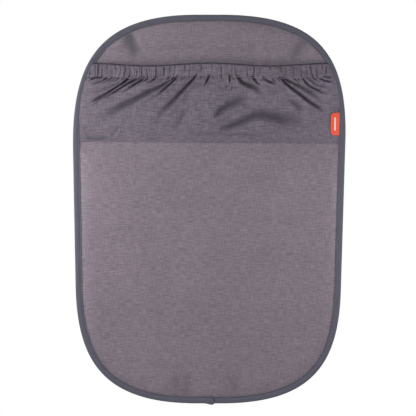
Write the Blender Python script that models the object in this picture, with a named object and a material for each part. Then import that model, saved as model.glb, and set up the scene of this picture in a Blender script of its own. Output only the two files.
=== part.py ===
"""Car seat back protector: an oval cloth mat with a gathered pocket across its top.

It hangs behind a car seat and keeps the frame that it has there. +Z is up, +X is to the
right as seen from the front, the front faces -Y, and the origin is the middle of the flat
back face. Lengths are in metres, and heights count up from the mat's bottom edge.
"""

import functools
import math
import random
from dataclasses import dataclass

import bmesh
import bpy
import numpy as np

# Outline of the finished mat
HEIGHT = 0.635
WIDTH = 0.445
TOP_LEVEL = 0.0195
TOP_EASE = 0.159
BOTTOM_LEVEL = 0.0195
BOTTOM_EASE = 0.150
CURVE_POINTS = 2400
BEZIER_POINTS = 400
EDGE_POINTS = 60


@dataclass(frozen=True)
class SideEdge:
    """One long side of the oval: its straight run and how softly it turns at both ends."""

    sign: int
    foot_inset: float
    shoulder_drop: float
    shoulder_ease: float
    foot_rise: float
    foot_ease: float


RIGHT = SideEdge(1, 0.0074, 0.2072, 0.143, 0.1844, 0.119)
LEFT = SideEdge(-1, 0.0042, 0.2211, 0.147, 0.1924, 0.128)

# Cloth thicknesses, and the gap that pieces keep where they touch
GAP = 0.0003
BACK_CLOTH = 0.0005
FACE_CLOTH = 0.0006
POCKET_CLOTH = 0.0005
TAPE = 0.0008

# The face cloth is a little slack, so it puffs out between the rim and the pocket
FACE_PUFF = 0.0022
PUFF_START = 0.018
PUFF_MARGIN = 0.045
PUFF_WAVE = 0.150
PUFF_RIPPLE = 0.3
FACE_COLUMNS = 14
RUNGS = 23

# The tape and the straps press into the backing, so the flat face between them, which bears
# on the seat, ends a little way off them. Its level rungs keep at least half a step apart.
PRESS = 0.0002
PRESS_RUN = 0.001
BACK_STEP = 0.012
END_SHARE = 0.6

# Edge binding: one folded tape, its ends lapped at the bottom centre
BINDING_WIDTH = 0.011
BINDING_STEP = 0.0215
FOLD_STEPS = 4
RIM_ROOM = 0.0018
LAP_LENGTH = 0.015
LAP_STEP = 0.0012
STACK_MARGIN = 0.003
STACK_RUN = 0.006

# Pocket
MOUTH_DROP = 0.079
POCKET_DEPTH = 0.130
MOUTH_DIP = 0.0045
MOUTH_STANDOFF = 0.0085
MOUTH_ROUNDNESS = 0.8
POCKET_BELLY = 0.0085
POCKET_SEAM = 0.003
POCKET_TUCK = 0.006
CORNER_DROP = 0.006
CORNER_STEP = 0.002
FAN_SPREAD = 3.0
BODY_ROWS = (0.05, 0.14, 0.27, 0.44, 0.64, 0.84, 1.0)

# Casing at the mouth, and the flat elastic in it. The elastic stops short of both ends by a
# share of the half mouth, and the casing is fully open from a part of that share on.
CASING_HEIGHT = 0.0225
CASING_FOLD = 0.0015
CASING_FLARE = 0.003
ELASTIC_PLAY = 0.0015
ELASTIC_THICKNESS = 0.0010
ELASTIC_SEGMENTS = 40
ELASTIC_END = 0.05
CASING_OPENING = 0.8

# Gathers that the elastic draws into the casing
GATHER_PITCH = 0.0070
GATHER_DEPTH = 0.0022
GATHER_FADE = 0.10
GATHER_JITTER = 0.30
GATHER_SEED = 11
CREST_RANGE = (0.45, 1.0)
VALLEY_RANGE = (0.0, 0.15)
TOP_GATHER = 0.6
STITCH_GATHER = 0.4
END_ROOM = 0.125

# Loop label at the right, under the binding
LABEL_RISE = 0.014
LABEL_HEIGHT = 0.0345
LABEL_SHOWING = 0.0147
LABEL_TUCK = 0.006
LABEL_RIBBON = 0.0006
LABEL_RADIUS = 0.0042
LABEL_ARC_STEPS = 4
LABEL_MARGIN = 0.015

# Webbing strap for the headrest posts, closed by hook and loop behind the mat
STRAP_DROP = 0.075
STRAP_EDGE = 0.046
STRAP_WIDTH = 0.025
STRAP_THICKNESS = 0.0015
STRAP_LAP = 0.100
STRAP_RISE_RUN = 0.050
STRAP_RISE_STEPS = 8
PATCH_END_MARGIN = 0.010
PATCH_SIDE_MARGIN = 0.0025
PATCH_THICKNESS = 0.0012

# Elastic band for the lower end
BAND_RISE = 0.120
BAND_EDGE = 0.037
BAND_WIDTH = 0.030
BAND_THICKNESS = 0.0012

SMOOTH_ANGLE = math.radians(50)


@dataclass(frozen=True)
class Crease:
    """A long crease below the casing: its place along the mouth, depth and reach."""

    place: float
    depth: float
    reach: float


# Place runs from -1 at the left end of the casing to 1 at the right end, and reach is the
# share of the way down to the pocket's edge.
CREASES = (
    Crease(-0.84, 0.0012, 0.80),
    Crease(-0.64, 0.0030, 0.90),
    Crease(-0.53, 0.0034, 0.95),
    Crease(-0.27, 0.0036, 0.70),
    Crease(-0.11, 0.0042, 0.85),
    Crease(0.00, 0.0022, 0.30),
    Crease(0.21, 0.0040, 0.50),
    Crease(0.31, 0.0022, 0.35),
    Crease(0.40, 0.0026, 0.45),
    Crease(0.53, 0.0040, 0.95),
    Crease(0.72, 0.0026, 0.80),
    Crease(0.86, 0.0016, 0.70),
)
CREASE_START = 0.35
CREASE_GROWTH = 0.15
RIDGE_SHARE = 0.45

# Heights of what is placed from the top edge or from the pocket
MOUTH_HEIGHT = HEIGHT - MOUTH_DROP
POCKET_BOTTOM = MOUTH_HEIGHT - POCKET_DEPTH
LABEL_BOTTOM = POCKET_BOTTOM + LABEL_RISE
LABEL_TOP = LABEL_BOTTOM + LABEL_HEIGHT
STRAP_HEIGHT = HEIGHT - STRAP_DROP

# Depths from the back face towards the front of what lies one on another
FACE_FRONT = BACK_CLOTH + GAP + FACE_CLOTH
PLY_PITCH = POCKET_CLOTH + GAP
POCKET_REST = FACE_FRONT + GAP + POCKET_CLOTH / 2
LABEL_REST = FACE_FRONT + PLY_PITCH + GAP + LABEL_RIBBON / 2


def clear_scene():
    for obj in list(bpy.data.objects):
        bpy.data.objects.remove(obj, do_unlink=True)


def material(name, hex_colour, roughness):
    """A Principled material with an sRGB colour."""
    made = bpy.data.materials.new(name)
    made.use_nodes = True
    shader = made.node_tree.nodes["Principled BSDF"]
    srgb = [int(hex_colour[i : i + 2], 16) / 255 for i in (1, 3, 5)]
    linear = [c / 12.92 if c <= 0.04045 else ((c + 0.055) / 1.055) ** 2.4 for c in srgb]
    shader.inputs["Base Color"].default_value = (*linear, 1.0)
    shader.inputs["Roughness"].default_value = roughness
    shader.inputs["Metallic"].default_value = 0.0
    return made


def point(x, height, depth):
    """World place of a point: depth counts from the back face towards the front."""
    return (x, -depth, height - HEIGHT / 2)


def finish_piece(name, bm, look):
    """Turn a built mesh into an object with its material and shading."""
    bmesh.ops.recalc_face_normals(bm, faces=bm.faces)
    mesh = bpy.data.meshes.new(name)
    bm.to_mesh(mesh)
    bm.free()
    mesh.materials.append(look)
    mesh.shade_smooth()
    mesh.set_sharp_from_angle(angle=SMOOTH_ANGLE)
    obj = bpy.data.objects.new(name, mesh)
    bpy.context.scene.collection.objects.link(obj)
    return obj


def thicken(obj, thickness, even=False):
    """Give a surface its cloth thickness, half to each side."""
    solidify = obj.modifiers.new("Cloth thickness", "SOLIDIFY")
    solidify.thickness = thickness
    solidify.offset = 0.0
    solidify.use_even_offset = even


def add_grid(bm, rows, closed=False):
    """Faces over a grid of points, joined end to end if closed."""
    grid = [[bm.verts.new(place) for place in row] for row in rows]
    columns = len(rows[0])
    for upper, lower in zip(grid, grid[1:]):
        for j in range(columns if closed else columns - 1):
            k = (j + 1) % columns
            bm.faces.new((upper[j], upper[k], lower[k], lower[j]))
    return grid


def add_sheet(name, rows, thickness, look, closed=False, even=False):
    """A cloth piece of even thickness from a grid of points."""
    bm = bmesh.new()
    add_grid(bm, rows, closed)
    thicken(finish_piece(name, bm, look), thickness, even)


def add_slab(name, front_rows, back_rows, look):
    """A cloth piece between two grids of points with the same layout."""
    bm = bmesh.new()
    rims = []
    for rows in (front_rows, back_rows):
        grid = add_grid(bm, rows)
        down = [row[-1] for row in grid[1:-1]]
        up = [row[0] for row in grid[-2:0:-1]]
        rims.append(grid[0] + down + grid[-1][::-1] + up)
    front, back = rims
    for k in range(len(front)):
        bm.faces.new((front[k - 1], front[k], back[k], back[k - 1]))
    finish_piece(name, bm, look)


# Outline


def bezier(p0, p1, p2, p3):
    t = np.linspace(0.0, 1.0, BEZIER_POINTS)[:, None]
    return (1 - t) ** 3 * p0 + 3 * (1 - t) ** 2 * t * p1 + 3 * (1 - t) * t**2 * p2 + t**3 * p3


@functools.lru_cache
def side_curve(side, inset=0.0):
    """Evenly spaced (x, height) points down one side, from the top centre to the bottom centre."""
    level_end = np.array([TOP_LEVEL, HEIGHT])
    shoulder = np.array([WIDTH / 2, HEIGHT - side.shoulder_drop])
    foot = np.array([WIDTH / 2 - side.foot_inset, side.foot_rise])
    rest = np.array([BOTTOM_LEVEL, 0.0])
    down = (foot - shoulder) / np.linalg.norm(foot - shoulder)
    outward = np.array([1.0, 0.0])
    raw = np.vstack(
        (
            [[0.0, HEIGHT]],
            bezier(
                level_end,
                level_end + TOP_EASE * outward,
                shoulder - side.shoulder_ease * down,
                shoulder,
            ),
            bezier(
                foot,
                foot + side.foot_ease * down,
                rest + BOTTOM_EASE * outward,
                rest,
            ),
            [[0.0, 0.0]],
        )
    )
    run = np.r_[0.0, np.cumsum(np.linalg.norm(np.diff(raw, axis=0), axis=1))]
    even = np.linspace(0.0, run[-1], CURVE_POINTS)
    curve = np.column_stack([np.interp(even, run, raw[:, k]) for k in (0, 1)])
    heading = np.gradient(curve, axis=0)
    heading /= np.linalg.norm(heading, axis=1)[:, None]
    inward = np.column_stack((heading[:, 1], -heading[:, 0]))
    moved = curve + inset * inward
    moved[0, 0] = moved[-1, 0] = 0.0
    return moved * [side.sign, 1.0], inward * [side.sign, 1.0]


def side_x(side, height, inset):
    """x of one side at a height, moved inwards by the inset."""
    curve, _ = side_curve(side, inset)
    return float(np.interp(-height, -curve[:, 1], curve[:, 0]))


def side_shares(side, heights):
    """Share of the way down one side at which it passes each height."""
    curve, _ = side_curve(side)
    return np.interp(-np.asarray(heights), -curve[:, 1], np.linspace(0, 1, len(curve)))


def side_length(side, inset=0.0):
    curve, _ = side_curve(side, inset)
    return np.linalg.norm(np.diff(curve, axis=0), axis=1).sum()


def at_share(values, share):
    """The row of an evenly spaced table at a share of its length."""
    place = share * (len(values) - 1)
    return np.array([np.interp(place, np.arange(len(values)), values[:, k]) for k in (0, 1)])


def panel_rows(inset, columns):
    """Rungs across the oval from its top edge down, with a point where the binding ends."""
    left, _ = side_curve(LEFT, inset)
    right, _ = side_curve(RIGHT, inset)
    length = side_length(RIGHT, inset)
    shares = np.linspace(TOP_LEVEL / length, 1 - BOTTOM_LEVEL / length, RUNGS)
    rows = []
    for share in shares:
        start, end = at_share(left, share), at_share(right, share)
        tuck = (BINDING_WIDTH + GAP - inset) / np.linalg.norm(end - start)
        tuck = min(tuck, 0.5 / columns)
        spots = [0.0, *np.linspace(tuck, 1 - tuck, columns - 1), 1.0]
        rows.append([start + (end - start) * spot for spot in spots])
    return rows


# Panels


def puff(x, height):
    """How far the slack face cloth stands out. It is flat at the rim and behind the pocket."""
    edge = min(side_x(RIGHT, height, 0.0) - x, x - side_x(LEFT, height, 0.0))
    above = height - MOUTH_HEIGHT - CASING_HEIGHT / 2
    below = POCKET_BOTTOM - height
    room = min(edge, max(min(above, HEIGHT - height), min(below, height)))
    rise = min(1.0, max(0.0, (room - PUFF_START) / PUFF_MARGIN))
    wave = math.cos(2 * math.pi * x / PUFF_WAVE) * math.cos(math.pi * height / PUFF_WAVE)
    return FACE_PUFF * rise * rise * (3 - 2 * rise) * (1 - PUFF_RIPPLE + PUFF_RIPPLE * wave)


def add_front_panel(looks):
    depth = FACE_FRONT - FACE_CLOTH / 2
    rows = [
        [point(x, h, depth + puff(x, h)) for x, h in row]
        for row in panel_rows(TAPE + RIM_ROOM, FACE_COLUMNS)
    ]
    add_sheet("front_panel", rows, FACE_CLOTH, looks["face"])


def pressed_bands():
    """(lowest, highest) of the backing that each strap presses on."""
    return [
        (middle - width / 2 - PRESS_RUN, middle + width / 2 + PRESS_RUN)
        for middle, width in ((BAND_RISE, BAND_WIDTH), (STRAP_HEIGHT, STRAP_WIDTH))
    ]


def backing_heights():
    """Heights of the backing's level rungs: evenly round the oval, and at each pressed band."""
    seam = BINDING_WIDTH + PRESS_RUN
    lines = [seam, HEIGHT - seam]
    for low, high in pressed_bands():
        lines += [low - PRESS_RUN, low, high, high + PRESS_RUN]
    curve, _ = side_curve(RIGHT, TAPE + RIM_ROOM)
    even = [at_share(curve, k / RUNGS)[1] for k in range(1, RUNGS)]
    spare = BACK_STEP / 2
    lines += [h for h in even if seam < h < HEIGHT - seam and min(abs(h - f) for f in lines) > spare]
    return sorted(lines, reverse=True)


def end_line(level, height):
    """The short rung at the top or the bottom of the backing, all of it under the tape."""
    xs = [-level, -level * END_SHARE, level * END_SHARE, level]
    return height, xs, [PRESS] * len(xs)


def add_back_panel(looks):
    """The backing, flat in front, and pressed in behind under the tape and the straps."""
    rim, seam = TAPE + RIM_ROOM, BINDING_WIDTH + PRESS_RUN
    lines = [end_line(TOP_LEVEL, HEIGHT - rim)]
    for height in backing_heights():
        pressed = any(low <= height <= high for low, high in pressed_bands())
        xs = [side_x(LEFT, height, rim), side_x(LEFT, height, seam)]
        xs += [side_x(RIGHT, height, seam), side_x(RIGHT, height, rim)]
        lines.append((height, xs, [PRESS, PRESS * pressed, PRESS * pressed, PRESS]))
    lines.append(end_line(BOTTOM_LEVEL, rim))
    front = [[point(x, h, BACK_CLOTH) for x in xs] for h, xs, _ in lines]
    back = [[point(x, h, d) for x, d in zip(xs, depths)] for h, xs, depths in lines]
    add_slab("back_panel", front, back, looks["backing"])


# Edge binding


def stack_zones(side):
    """(lowest, highest, thickness) of each ply that the binding takes in beside the panels."""
    zones = [
        (POCKET_BOTTOM, MOUTH_HEIGHT, PLY_PITCH),
        (MOUTH_HEIGHT - CASING_HEIGHT, MOUTH_HEIGHT, PLY_PITCH),
    ]
    if side is RIGHT:
        zones.append((LABEL_BOTTOM, LABEL_TOP, LABEL_RIBBON + GAP))
    return zones


def stack_depth(side, height):
    """Depth of the front of all that the binding folds round at this height."""
    depth = FACE_FRONT
    for low, high, thickness in stack_zones(side):
        outside = max(low - STACK_MARGIN - height, height - high - STACK_MARGIN, 0.0)
        depth += thickness * max(0.0, 1.0 - outside / STACK_RUN)
    return depth


def binding_shares(side):
    """Where the binding has its sections down one side: evenly, and at each step in the stack."""
    length = side_length(side)
    steps = []
    for low, high, _ in stack_zones(side):
        for margin in (STACK_MARGIN, STACK_MARGIN + STACK_RUN):
            steps += [low - margin, high + margin]
    fixed = sorted(set(side_shares(side, steps)))
    fixed += [1 - (LAP_LENGTH / 2 + GAP) / length, 1 - LAP_LENGTH / 2 / length]
    count = round(length / BINDING_STEP)
    spare = BINDING_STEP / 3 / length
    even = [k / count for k in range(1, count)]
    return [0.0] + sorted(fixed + [s for s in even if min(abs(s - f) for f in fixed) > spare])


def binding_section(side, share):
    """The tape's middle line across one section, from the front edge round the rim to the back."""
    curve, inward = side_curve(side)
    rim, normal = at_share(curve, share), at_share(inward, share)
    lapped = (1 - share) * side_length(side) <= LAP_LENGTH / 2 + GAP / 2
    lift = LAP_STEP if lapped else 0.0
    front = stack_depth(side, rim[1]) + GAP + TAPE / 2 + lift
    back = -(GAP + TAPE / 2) - lift
    middle, half = (front + back) / 2, (front - back) / 2
    places = [(BINDING_WIDTH, front)]
    for k in range(FOLD_STEPS + 1):
        angle = math.pi * k / FOLD_STEPS
        inset = TAPE / 2 + half * (1 - math.sin(angle)) - lift
        places.append((inset, middle + half * math.cos(angle)))
    places.append((BINDING_WIDTH, back))
    return [point(*(rim + inset * normal), depth) for inset, depth in places]


def add_binding(looks):
    down = [binding_section(RIGHT, share) for share in binding_shares(RIGHT)]
    up = [binding_section(LEFT, share) for share in reversed(binding_shares(LEFT)[1:])]
    sections = down + up
    rows = [list(line) for line in zip(*sections)]
    add_sheet("edge_binding", rows, TAPE, looks["binding"], closed=True, even=True)


# Pocket


def mouth_height(place):
    """Height of the pocket's mouth: it dips twice between its two ends and its middle."""
    return MOUTH_HEIGHT - MOUTH_DIP * math.sin(math.pi * place) ** 2


def stitch_height(place):
    return mouth_height(place) - CASING_HEIGHT


def casing_x(place, height, inset):
    side = RIGHT if place > 0 else LEFT
    return abs(place) * side_x(side, height, inset)


def edge_path(side, inset, bottom, drop):
    """From the middle of the pocket's bottom edge to its corner and up its side edge."""
    top = stitch_height(1.0) - drop
    heights = np.linspace(bottom, top, EDGE_POINTS)
    xs = [side_x(side, h, inset) for h in heights]
    path = np.vstack(([[0.0, bottom]], np.column_stack((xs, heights))))
    run = np.r_[0.0, np.cumsum(np.linalg.norm(np.diff(path, axis=0), axis=1))]
    return path, run


def on_path(path, run, share):
    return [float(np.interp(share * run[-1], run, path[:, k])) for k in (0, 1)]


def standoff(place):
    """How far the mouth stands off the face cloth."""
    return MOUTH_STANDOFF * (1 - place * place) ** MOUTH_ROUNDNESS


def gather_columns():
    """Places across the casing where a gather has its valley or its crest, and how high it is."""
    rng = random.Random(GATHER_SEED)
    span = side_x(RIGHT, MOUTH_HEIGHT, BINDING_WIDTH) - side_x(LEFT, MOUTH_HEIGHT, BINDING_WIDTH)
    last = 2 * round(span / GATHER_PITCH)
    columns = []
    for k in range(last + 1):
        inner = 0 < k < last
        shift = GATHER_JITTER * rng.uniform(-1, 1) if inner else 0.0
        crest = rng.uniform(*(CREST_RANGE if k % 2 else VALLEY_RANGE))
        columns.append((-1 + 2 * (k + shift) / last, crest if inner else 0.0))
    return columns


def crease_lift(columns):
    """Each column's share of the creases: a list of (lift, reach) for each column."""
    lifts = [[] for _ in columns]
    valleys = range(2, len(columns) - 2, 2)
    for crease in CREASES:
        k = min(valleys, key=lambda v: abs(columns[v][0] - crease.place))
        lifts[k].append((-crease.depth, crease.reach))
        for beside in (k - 1, k + 1):
            lifts[beside].append((crease.depth * RIDGE_SHARE, crease.reach))
    return lifts


def body_depth(place, crest, lifts, way):
    """Depth of the pocket's cloth below the casing, at a share of the way to its edge."""
    room = 1 - place * place
    out = (standoff(place) + PLY_PITCH) * (1 - way)
    out += POCKET_BELLY * room * math.sin(math.pi * way)
    out += GATHER_DEPTH * crest * math.exp(-way / GATHER_FADE) * min(1.0, room / END_ROOM)
    for lift, reach in lifts:
        grown = min(1.0, CREASE_START + way / CREASE_GROWTH)
        out += lift * grown * max(0.0, 1 - way / reach)
    return POCKET_REST + (max(0.0, out) if way < 1 else 0.0)


def casing_rows(place, crest, inset):
    """The hem from its end behind, over the mouth and down the front to the stitch line."""
    top, stitch = mouth_height(place), stitch_height(place)
    open_share = min(1.0, (1 - abs(place)) / (CASING_OPENING * ELASTIC_END))
    behind = POCKET_REST + standoff(place)
    cavity = PLY_PITCH + (ELASTIC_THICKNESS + GAP) * open_share
    puffed = GATHER_DEPTH * crest
    shoulder = top - CASING_FOLD
    line = (
        (stitch, behind),
        (shoulder, behind),
        (top, behind + cavity / 2),
        (shoulder, behind + cavity + TOP_GATHER * puffed),
        (stitch + CASING_FLARE, behind + cavity + puffed),
        (stitch, behind + PLY_PITCH + STITCH_GATHER * puffed),
    )
    return [(casing_x(place, h, inset), h, depth) for h, depth in line]


def pocket_column(place, crest, lifts, paths):
    """One column of the pocket's cloth, from the hem's end to the seam at its edge."""
    inner, outer = paths[RIGHT if place > 0 else LEFT]
    column = casing_rows(place, crest, BINDING_WIDTH + GAP)
    start = np.array(column[-1][:2])
    share = abs(place) * (1 + FAN_SPREAD) / (1 + FAN_SPREAD * abs(place))
    end = np.array(on_path(*inner, share))
    for way in BODY_ROWS:
        x, height = start + (end - start) * way
        column.append((x, height, body_depth(place, crest, lifts, way)))
    x, height = on_path(*outer, share)
    column.append((x, height, POCKET_REST))
    return column


def tucked_column(side, paths):
    """The selvedge of the pocket's cloth, under the binding."""
    inset = BINDING_WIDTH - POCKET_TUCK
    column = casing_rows(float(side.sign), 0.0, inset)
    start = column[-1][1]
    for way in BODY_ROWS:
        height = start + (paths[side][0][0][-1][1] - start) * way
        depth = POCKET_REST + PLY_PITCH * (1 - way)
        column.append((side_x(side, height, inset), height, depth))
    x, height = paths[side][1][0][-1]
    column.append((x, height, POCKET_REST))
    return column


def pocket_grid():
    """Columns of (x, height, depth) across the whole pocket."""
    inner, tucked = BINDING_WIDTH + GAP, BINDING_WIDTH - POCKET_TUCK
    paths = {
        side: (
            edge_path(side, inner, POCKET_BOTTOM + POCKET_SEAM, CORNER_DROP),
            edge_path(side, tucked, POCKET_BOTTOM, CORNER_DROP + CORNER_STEP),
        )
        for side in (LEFT, RIGHT)
    }
    columns = gather_columns()
    lifts = crease_lift(columns)
    grid = [pocket_column(*column, lift, paths) for column, lift in zip(columns, lifts)]
    return [tucked_column(LEFT, paths), *grid, tucked_column(RIGHT, paths)]


def add_pocket(looks, grid):
    rows = [[point(*place) for place in column] for column in grid]
    add_sheet("pocket_panel", rows, POCKET_CLOTH, looks["face"])


def add_elastic(looks):
    """The flat elastic, held straight in the casing between the two side seams."""
    rows = []
    for k in range(ELASTIC_SEGMENTS + 1):
        place = (2 * k / ELASTIC_SEGMENTS - 1) * (1 - ELASTIC_END)
        low = stitch_height(place) + CASING_FLARE + ELASTIC_PLAY
        high = mouth_height(place) - CASING_FOLD - ELASTIC_PLAY
        depth = POCKET_REST + standoff(place)
        depth += POCKET_CLOTH / 2 + GAP + ELASTIC_THICKNESS / 2
        xs = [casing_x(place, h, BINDING_WIDTH + GAP) for h in (low, high)]
        rows.append([point(x, h, depth) for x, h in zip(xs, (low, high))])
    add_sheet("pocket_elastic", rows, ELASTIC_THICKNESS, looks["elastic"])


# Label


def label_outline(root, tip):
    """The label's (inset, height) outline, with its two free corners rounded."""
    outline = [(root, LABEL_BOTTOM)]
    corners = ((LABEL_BOTTOM + LABEL_RADIUS, -90), (LABEL_TOP - LABEL_RADIUS, 0))
    for centre, start in corners:
        for k in range(LABEL_ARC_STEPS + 1):
            angle = math.radians(start + 90 * k / LABEL_ARC_STEPS)
            inset = tip - LABEL_RADIUS * (1 - math.cos(angle))
            outline.append((inset, centre + LABEL_RADIUS * math.sin(angle)))
    outline.append((root, LABEL_TOP))
    return outline


def label_slope(grid, rim, bend, tip):
    """Slope at which the label clears the highest fold of the pocket below it."""
    clearance = POCKET_CLOTH / 2 + GAP + LABEL_RIBBON / 2
    slope = 0.0
    for column in grid:
        for x, height, depth in column[-len(BODY_ROWS) - 1 :]:
            inset = rim - x
            beside = BINDING_WIDTH + GAP < inset < tip + LABEL_MARGIN
            if beside and LABEL_BOTTOM - LABEL_MARGIN < height < LABEL_TOP + LABEL_MARGIN:
                slope = max(slope, (depth + clearance - LABEL_REST) / (inset - bend))
    return slope


def add_label(looks, grid):
    """The folded ribbon, bent out over the pocket's cloth where it leaves the binding."""
    rim = side_x(RIGHT, LABEL_BOTTOM + LABEL_HEIGHT / 2, 0.0)
    root, bend = BINDING_WIDTH - LABEL_TUCK, BINDING_WIDTH - GAP
    tip = BINDING_WIDTH + LABEL_SHOWING
    slope = label_slope(grid, rim, bend, tip)
    bm = bmesh.new()
    outline = label_outline(root, tip)
    bm.faces.new([bm.verts.new(point(rim - inset, height, 0.0)) for inset, height in outline])
    bmesh.ops.bisect_plane(
        bm,
        geom=bm.verts[:] + bm.edges[:] + bm.faces[:],
        plane_co=(rim - bend, 0.0, 0.0),
        plane_no=(1.0, 0.0, 0.0),
    )
    for vert in bm.verts:
        vert.co.y = -(LABEL_REST + slope * max(0.0, rim - vert.co.x - bend))
    thicken(finish_piece("side_label", bm, looks["label"]), LABEL_RIBBON)


# Straps behind the mat


def ribbon_rows(places, height, width):
    """A flat strap along X: places are (x, distance behind the back face)."""
    return [
        [point(x, h, -behind) for h in (height - width / 2, height + width / 2)]
        for x, behind in places
    ]


def add_headrest_strap(looks):
    """Two webbing halves sewn on at the sides, one lapped over the other at the middle."""
    near = GAP - PRESS + STRAP_THICKNESS / 2
    pitch = STRAP_THICKNESS + 2 * PATCH_THICKNESS + 3 * GAP
    end = STRAP_LAP / 2
    sewn_right = side_x(RIGHT, STRAP_HEIGHT, STRAP_EDGE)
    rows = ribbon_rows([(sewn_right, near), (-end, near)], STRAP_HEIGHT, STRAP_WIDTH)
    add_sheet("headrest_strap_right", rows, STRAP_THICKNESS, looks["webbing"])
    left = [(side_x(LEFT, STRAP_HEIGHT, STRAP_EDGE), near)]
    for k in range(STRAP_RISE_STEPS + 1):
        share = k / STRAP_RISE_STEPS
        x = -end - GAP - STRAP_RISE_RUN * (1 - share)
        left.append((x, near + pitch * share * share * (3 - 2 * share)))
    left.append((end, near + pitch))
    rows = ribbon_rows(left, STRAP_HEIGHT, STRAP_WIDTH)
    add_sheet("headrest_strap_left", rows, STRAP_THICKNESS, looks["webbing"])
    reach = end - PATCH_END_MARGIN
    width = STRAP_WIDTH - 2 * PATCH_SIDE_MARGIN
    behind = near + STRAP_THICKNESS / 2 + GAP + PATCH_THICKNESS / 2
    for name in ("strap_hook_patch", "strap_loop_patch"):
        rows = ribbon_rows([(-reach, behind), (reach, behind)], STRAP_HEIGHT, width)
        add_sheet(name, rows, PATCH_THICKNESS, looks["webbing"])
        behind += PATCH_THICKNESS + GAP


def add_lower_band(looks):
    behind = GAP - PRESS + BAND_THICKNESS / 2
    places = [(side_x(side, BAND_RISE, BAND_EDGE), behind) for side in (LEFT, RIGHT)]
    rows = ribbon_rows(places, BAND_RISE, BAND_WIDTH)
    add_sheet("lower_band", rows, BAND_THICKNESS, looks["elastic"])


def main():
    clear_scene()
    looks = {
        "face": material("Mauve grey woven polyester", "#7e747d", 0.75),
        "backing": material("Black backing cloth", "#3b393d", 0.85),
        "binding": material("Slate grey binding tape", "#62626b", 0.7),
        "elastic": material("Black knitted elastic", "#2c2b2e", 0.8),
        "webbing": material("Black webbing", "#2a292c", 0.6),
        "label": material("Coral woven ribbon", "#fb5a3c", 0.5),
    }
    grid = pocket_grid()
    add_front_panel(looks)
    add_back_panel(looks)
    add_binding(looks)
    add_pocket(looks, grid)
    add_elastic(looks)
    add_label(looks, grid)
    add_headrest_strap(looks)
    add_lower_band(looks)


if __name__ == "__main__":
    main()
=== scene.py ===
"""Looks of a car seat back protector: an oval cloth mat with a gathered pocket and a taped edge.

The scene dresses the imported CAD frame. Lengths are in metres, +Z is up and the front faces -Y.
Heights count up from the mat's bottom edge, and depths from its flat back face to the front.
"""

import functools
import logging
import math
from dataclasses import dataclass
from enum import Enum

import bpy
import numpy as np
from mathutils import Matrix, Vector


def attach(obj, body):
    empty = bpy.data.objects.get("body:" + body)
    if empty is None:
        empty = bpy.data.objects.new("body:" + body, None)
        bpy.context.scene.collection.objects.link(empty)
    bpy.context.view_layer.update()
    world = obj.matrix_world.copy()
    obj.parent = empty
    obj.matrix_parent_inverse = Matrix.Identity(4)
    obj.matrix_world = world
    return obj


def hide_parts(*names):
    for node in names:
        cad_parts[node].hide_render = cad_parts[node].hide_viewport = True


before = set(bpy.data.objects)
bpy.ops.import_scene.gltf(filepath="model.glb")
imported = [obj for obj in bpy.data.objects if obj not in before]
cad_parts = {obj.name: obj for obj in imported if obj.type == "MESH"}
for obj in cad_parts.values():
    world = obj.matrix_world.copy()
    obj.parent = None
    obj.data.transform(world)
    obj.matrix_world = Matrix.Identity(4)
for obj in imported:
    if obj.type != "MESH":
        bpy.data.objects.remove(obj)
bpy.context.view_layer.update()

LOG = logging.getLogger("mat")

Array = np.ndarray
Piece = bpy.types.Object
Tree = bpy.types.NodeTree
Socket = bpy.types.NodeSocket

# Cloth stack, from the back face to the front
GAP = 0.0003
BACK_CLOTH = 0.0005
FACE_CLOTH = 0.0006
POCKET_CLOTH = 0.0005
FACE_FRONT = BACK_CLOTH + GAP + FACE_CLOTH
PLY_PITCH = POCKET_CLOTH + GAP
POCKET_REST = FACE_FRONT + GAP + POCKET_CLOTH / 2

# Seams and edges sharper than this stay sharp when a piece is shaded smooth
SHARP_ANGLE = math.radians(60)
# Two directions that count as the front's and the back's
TO_FRONT = -1.0
TO_BACK = 1.0


# Small tools


def mm(*values: float) -> Array:
    """Millimetres as metres."""
    return np.array(values) / 1000.0


def linear(hex_colour: str) -> tuple[float, float, float, float]:
    """Turn an sRGB hex colour into the linear colour that a shader takes.

    Args:
        hex_colour: The colour as "#rrggbb".

    Returns:
        Linear red, green, blue and an alpha of one.
    """
    srgb = [int(hex_colour[i : i + 2], 16) / 255 for i in (1, 3, 5)]
    # The curve of the sRGB standard
    red, green, blue = (c / 12.92 if c <= 0.04045 else ((c + 0.055) / 1.055) ** 2.4 for c in srgb)
    return red, green, blue, 1.0


def ease(value: Array, low: float = 0.0, high: float = 1.0) -> Array:
    """Rise smoothly from 0 at low to 1 at high.

    Args:
        value: Where to evaluate it.
        low: Value with no rise yet.
        high: Value with the full rise.

    Returns:
        The eased share, from 0 to 1.
    """
    share = np.clip((np.asarray(value, float) - low) / (high - low), 0.0, 1.0)
    return share * share * (3 - 2 * share)


# Hills and hollows repeat after this many cells
LATTICE = 64


def hills(x: Array, y: Array, cell_x: float, cell_y: float, seed: int) -> Array:
    """Smooth hills and hollows, the same on each run.

    Args:
        x: First coordinate.
        y: Second coordinate.
        cell_x: Rough width of a hill along the first coordinate.
        cell_y: Rough width of a hill along the second coordinate.
        seed: Which hills.

    Returns:
        Heights from -1 to 1.
    """
    size = LATTICE
    lattice = np.random.default_rng(seed).uniform(-1, 1, (size, size))
    u, v = np.broadcast_arrays(np.asarray(x) / cell_x, np.asarray(y) / cell_y)
    i, j = np.floor(u).astype(int), np.floor(v).astype(int)
    s, t = ease(u - i), ease(v - j)
    near, far = lattice[i % size, j % size], lattice[(i + 1) % size, j % size]
    near_up, far_up = lattice[i % size, (j + 1) % size], lattice[(i + 1) % size, (j + 1) % size]
    return (near * (1 - s) + far * s) * (1 - t) + (near_up * (1 - s) + far_up * s) * t


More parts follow.
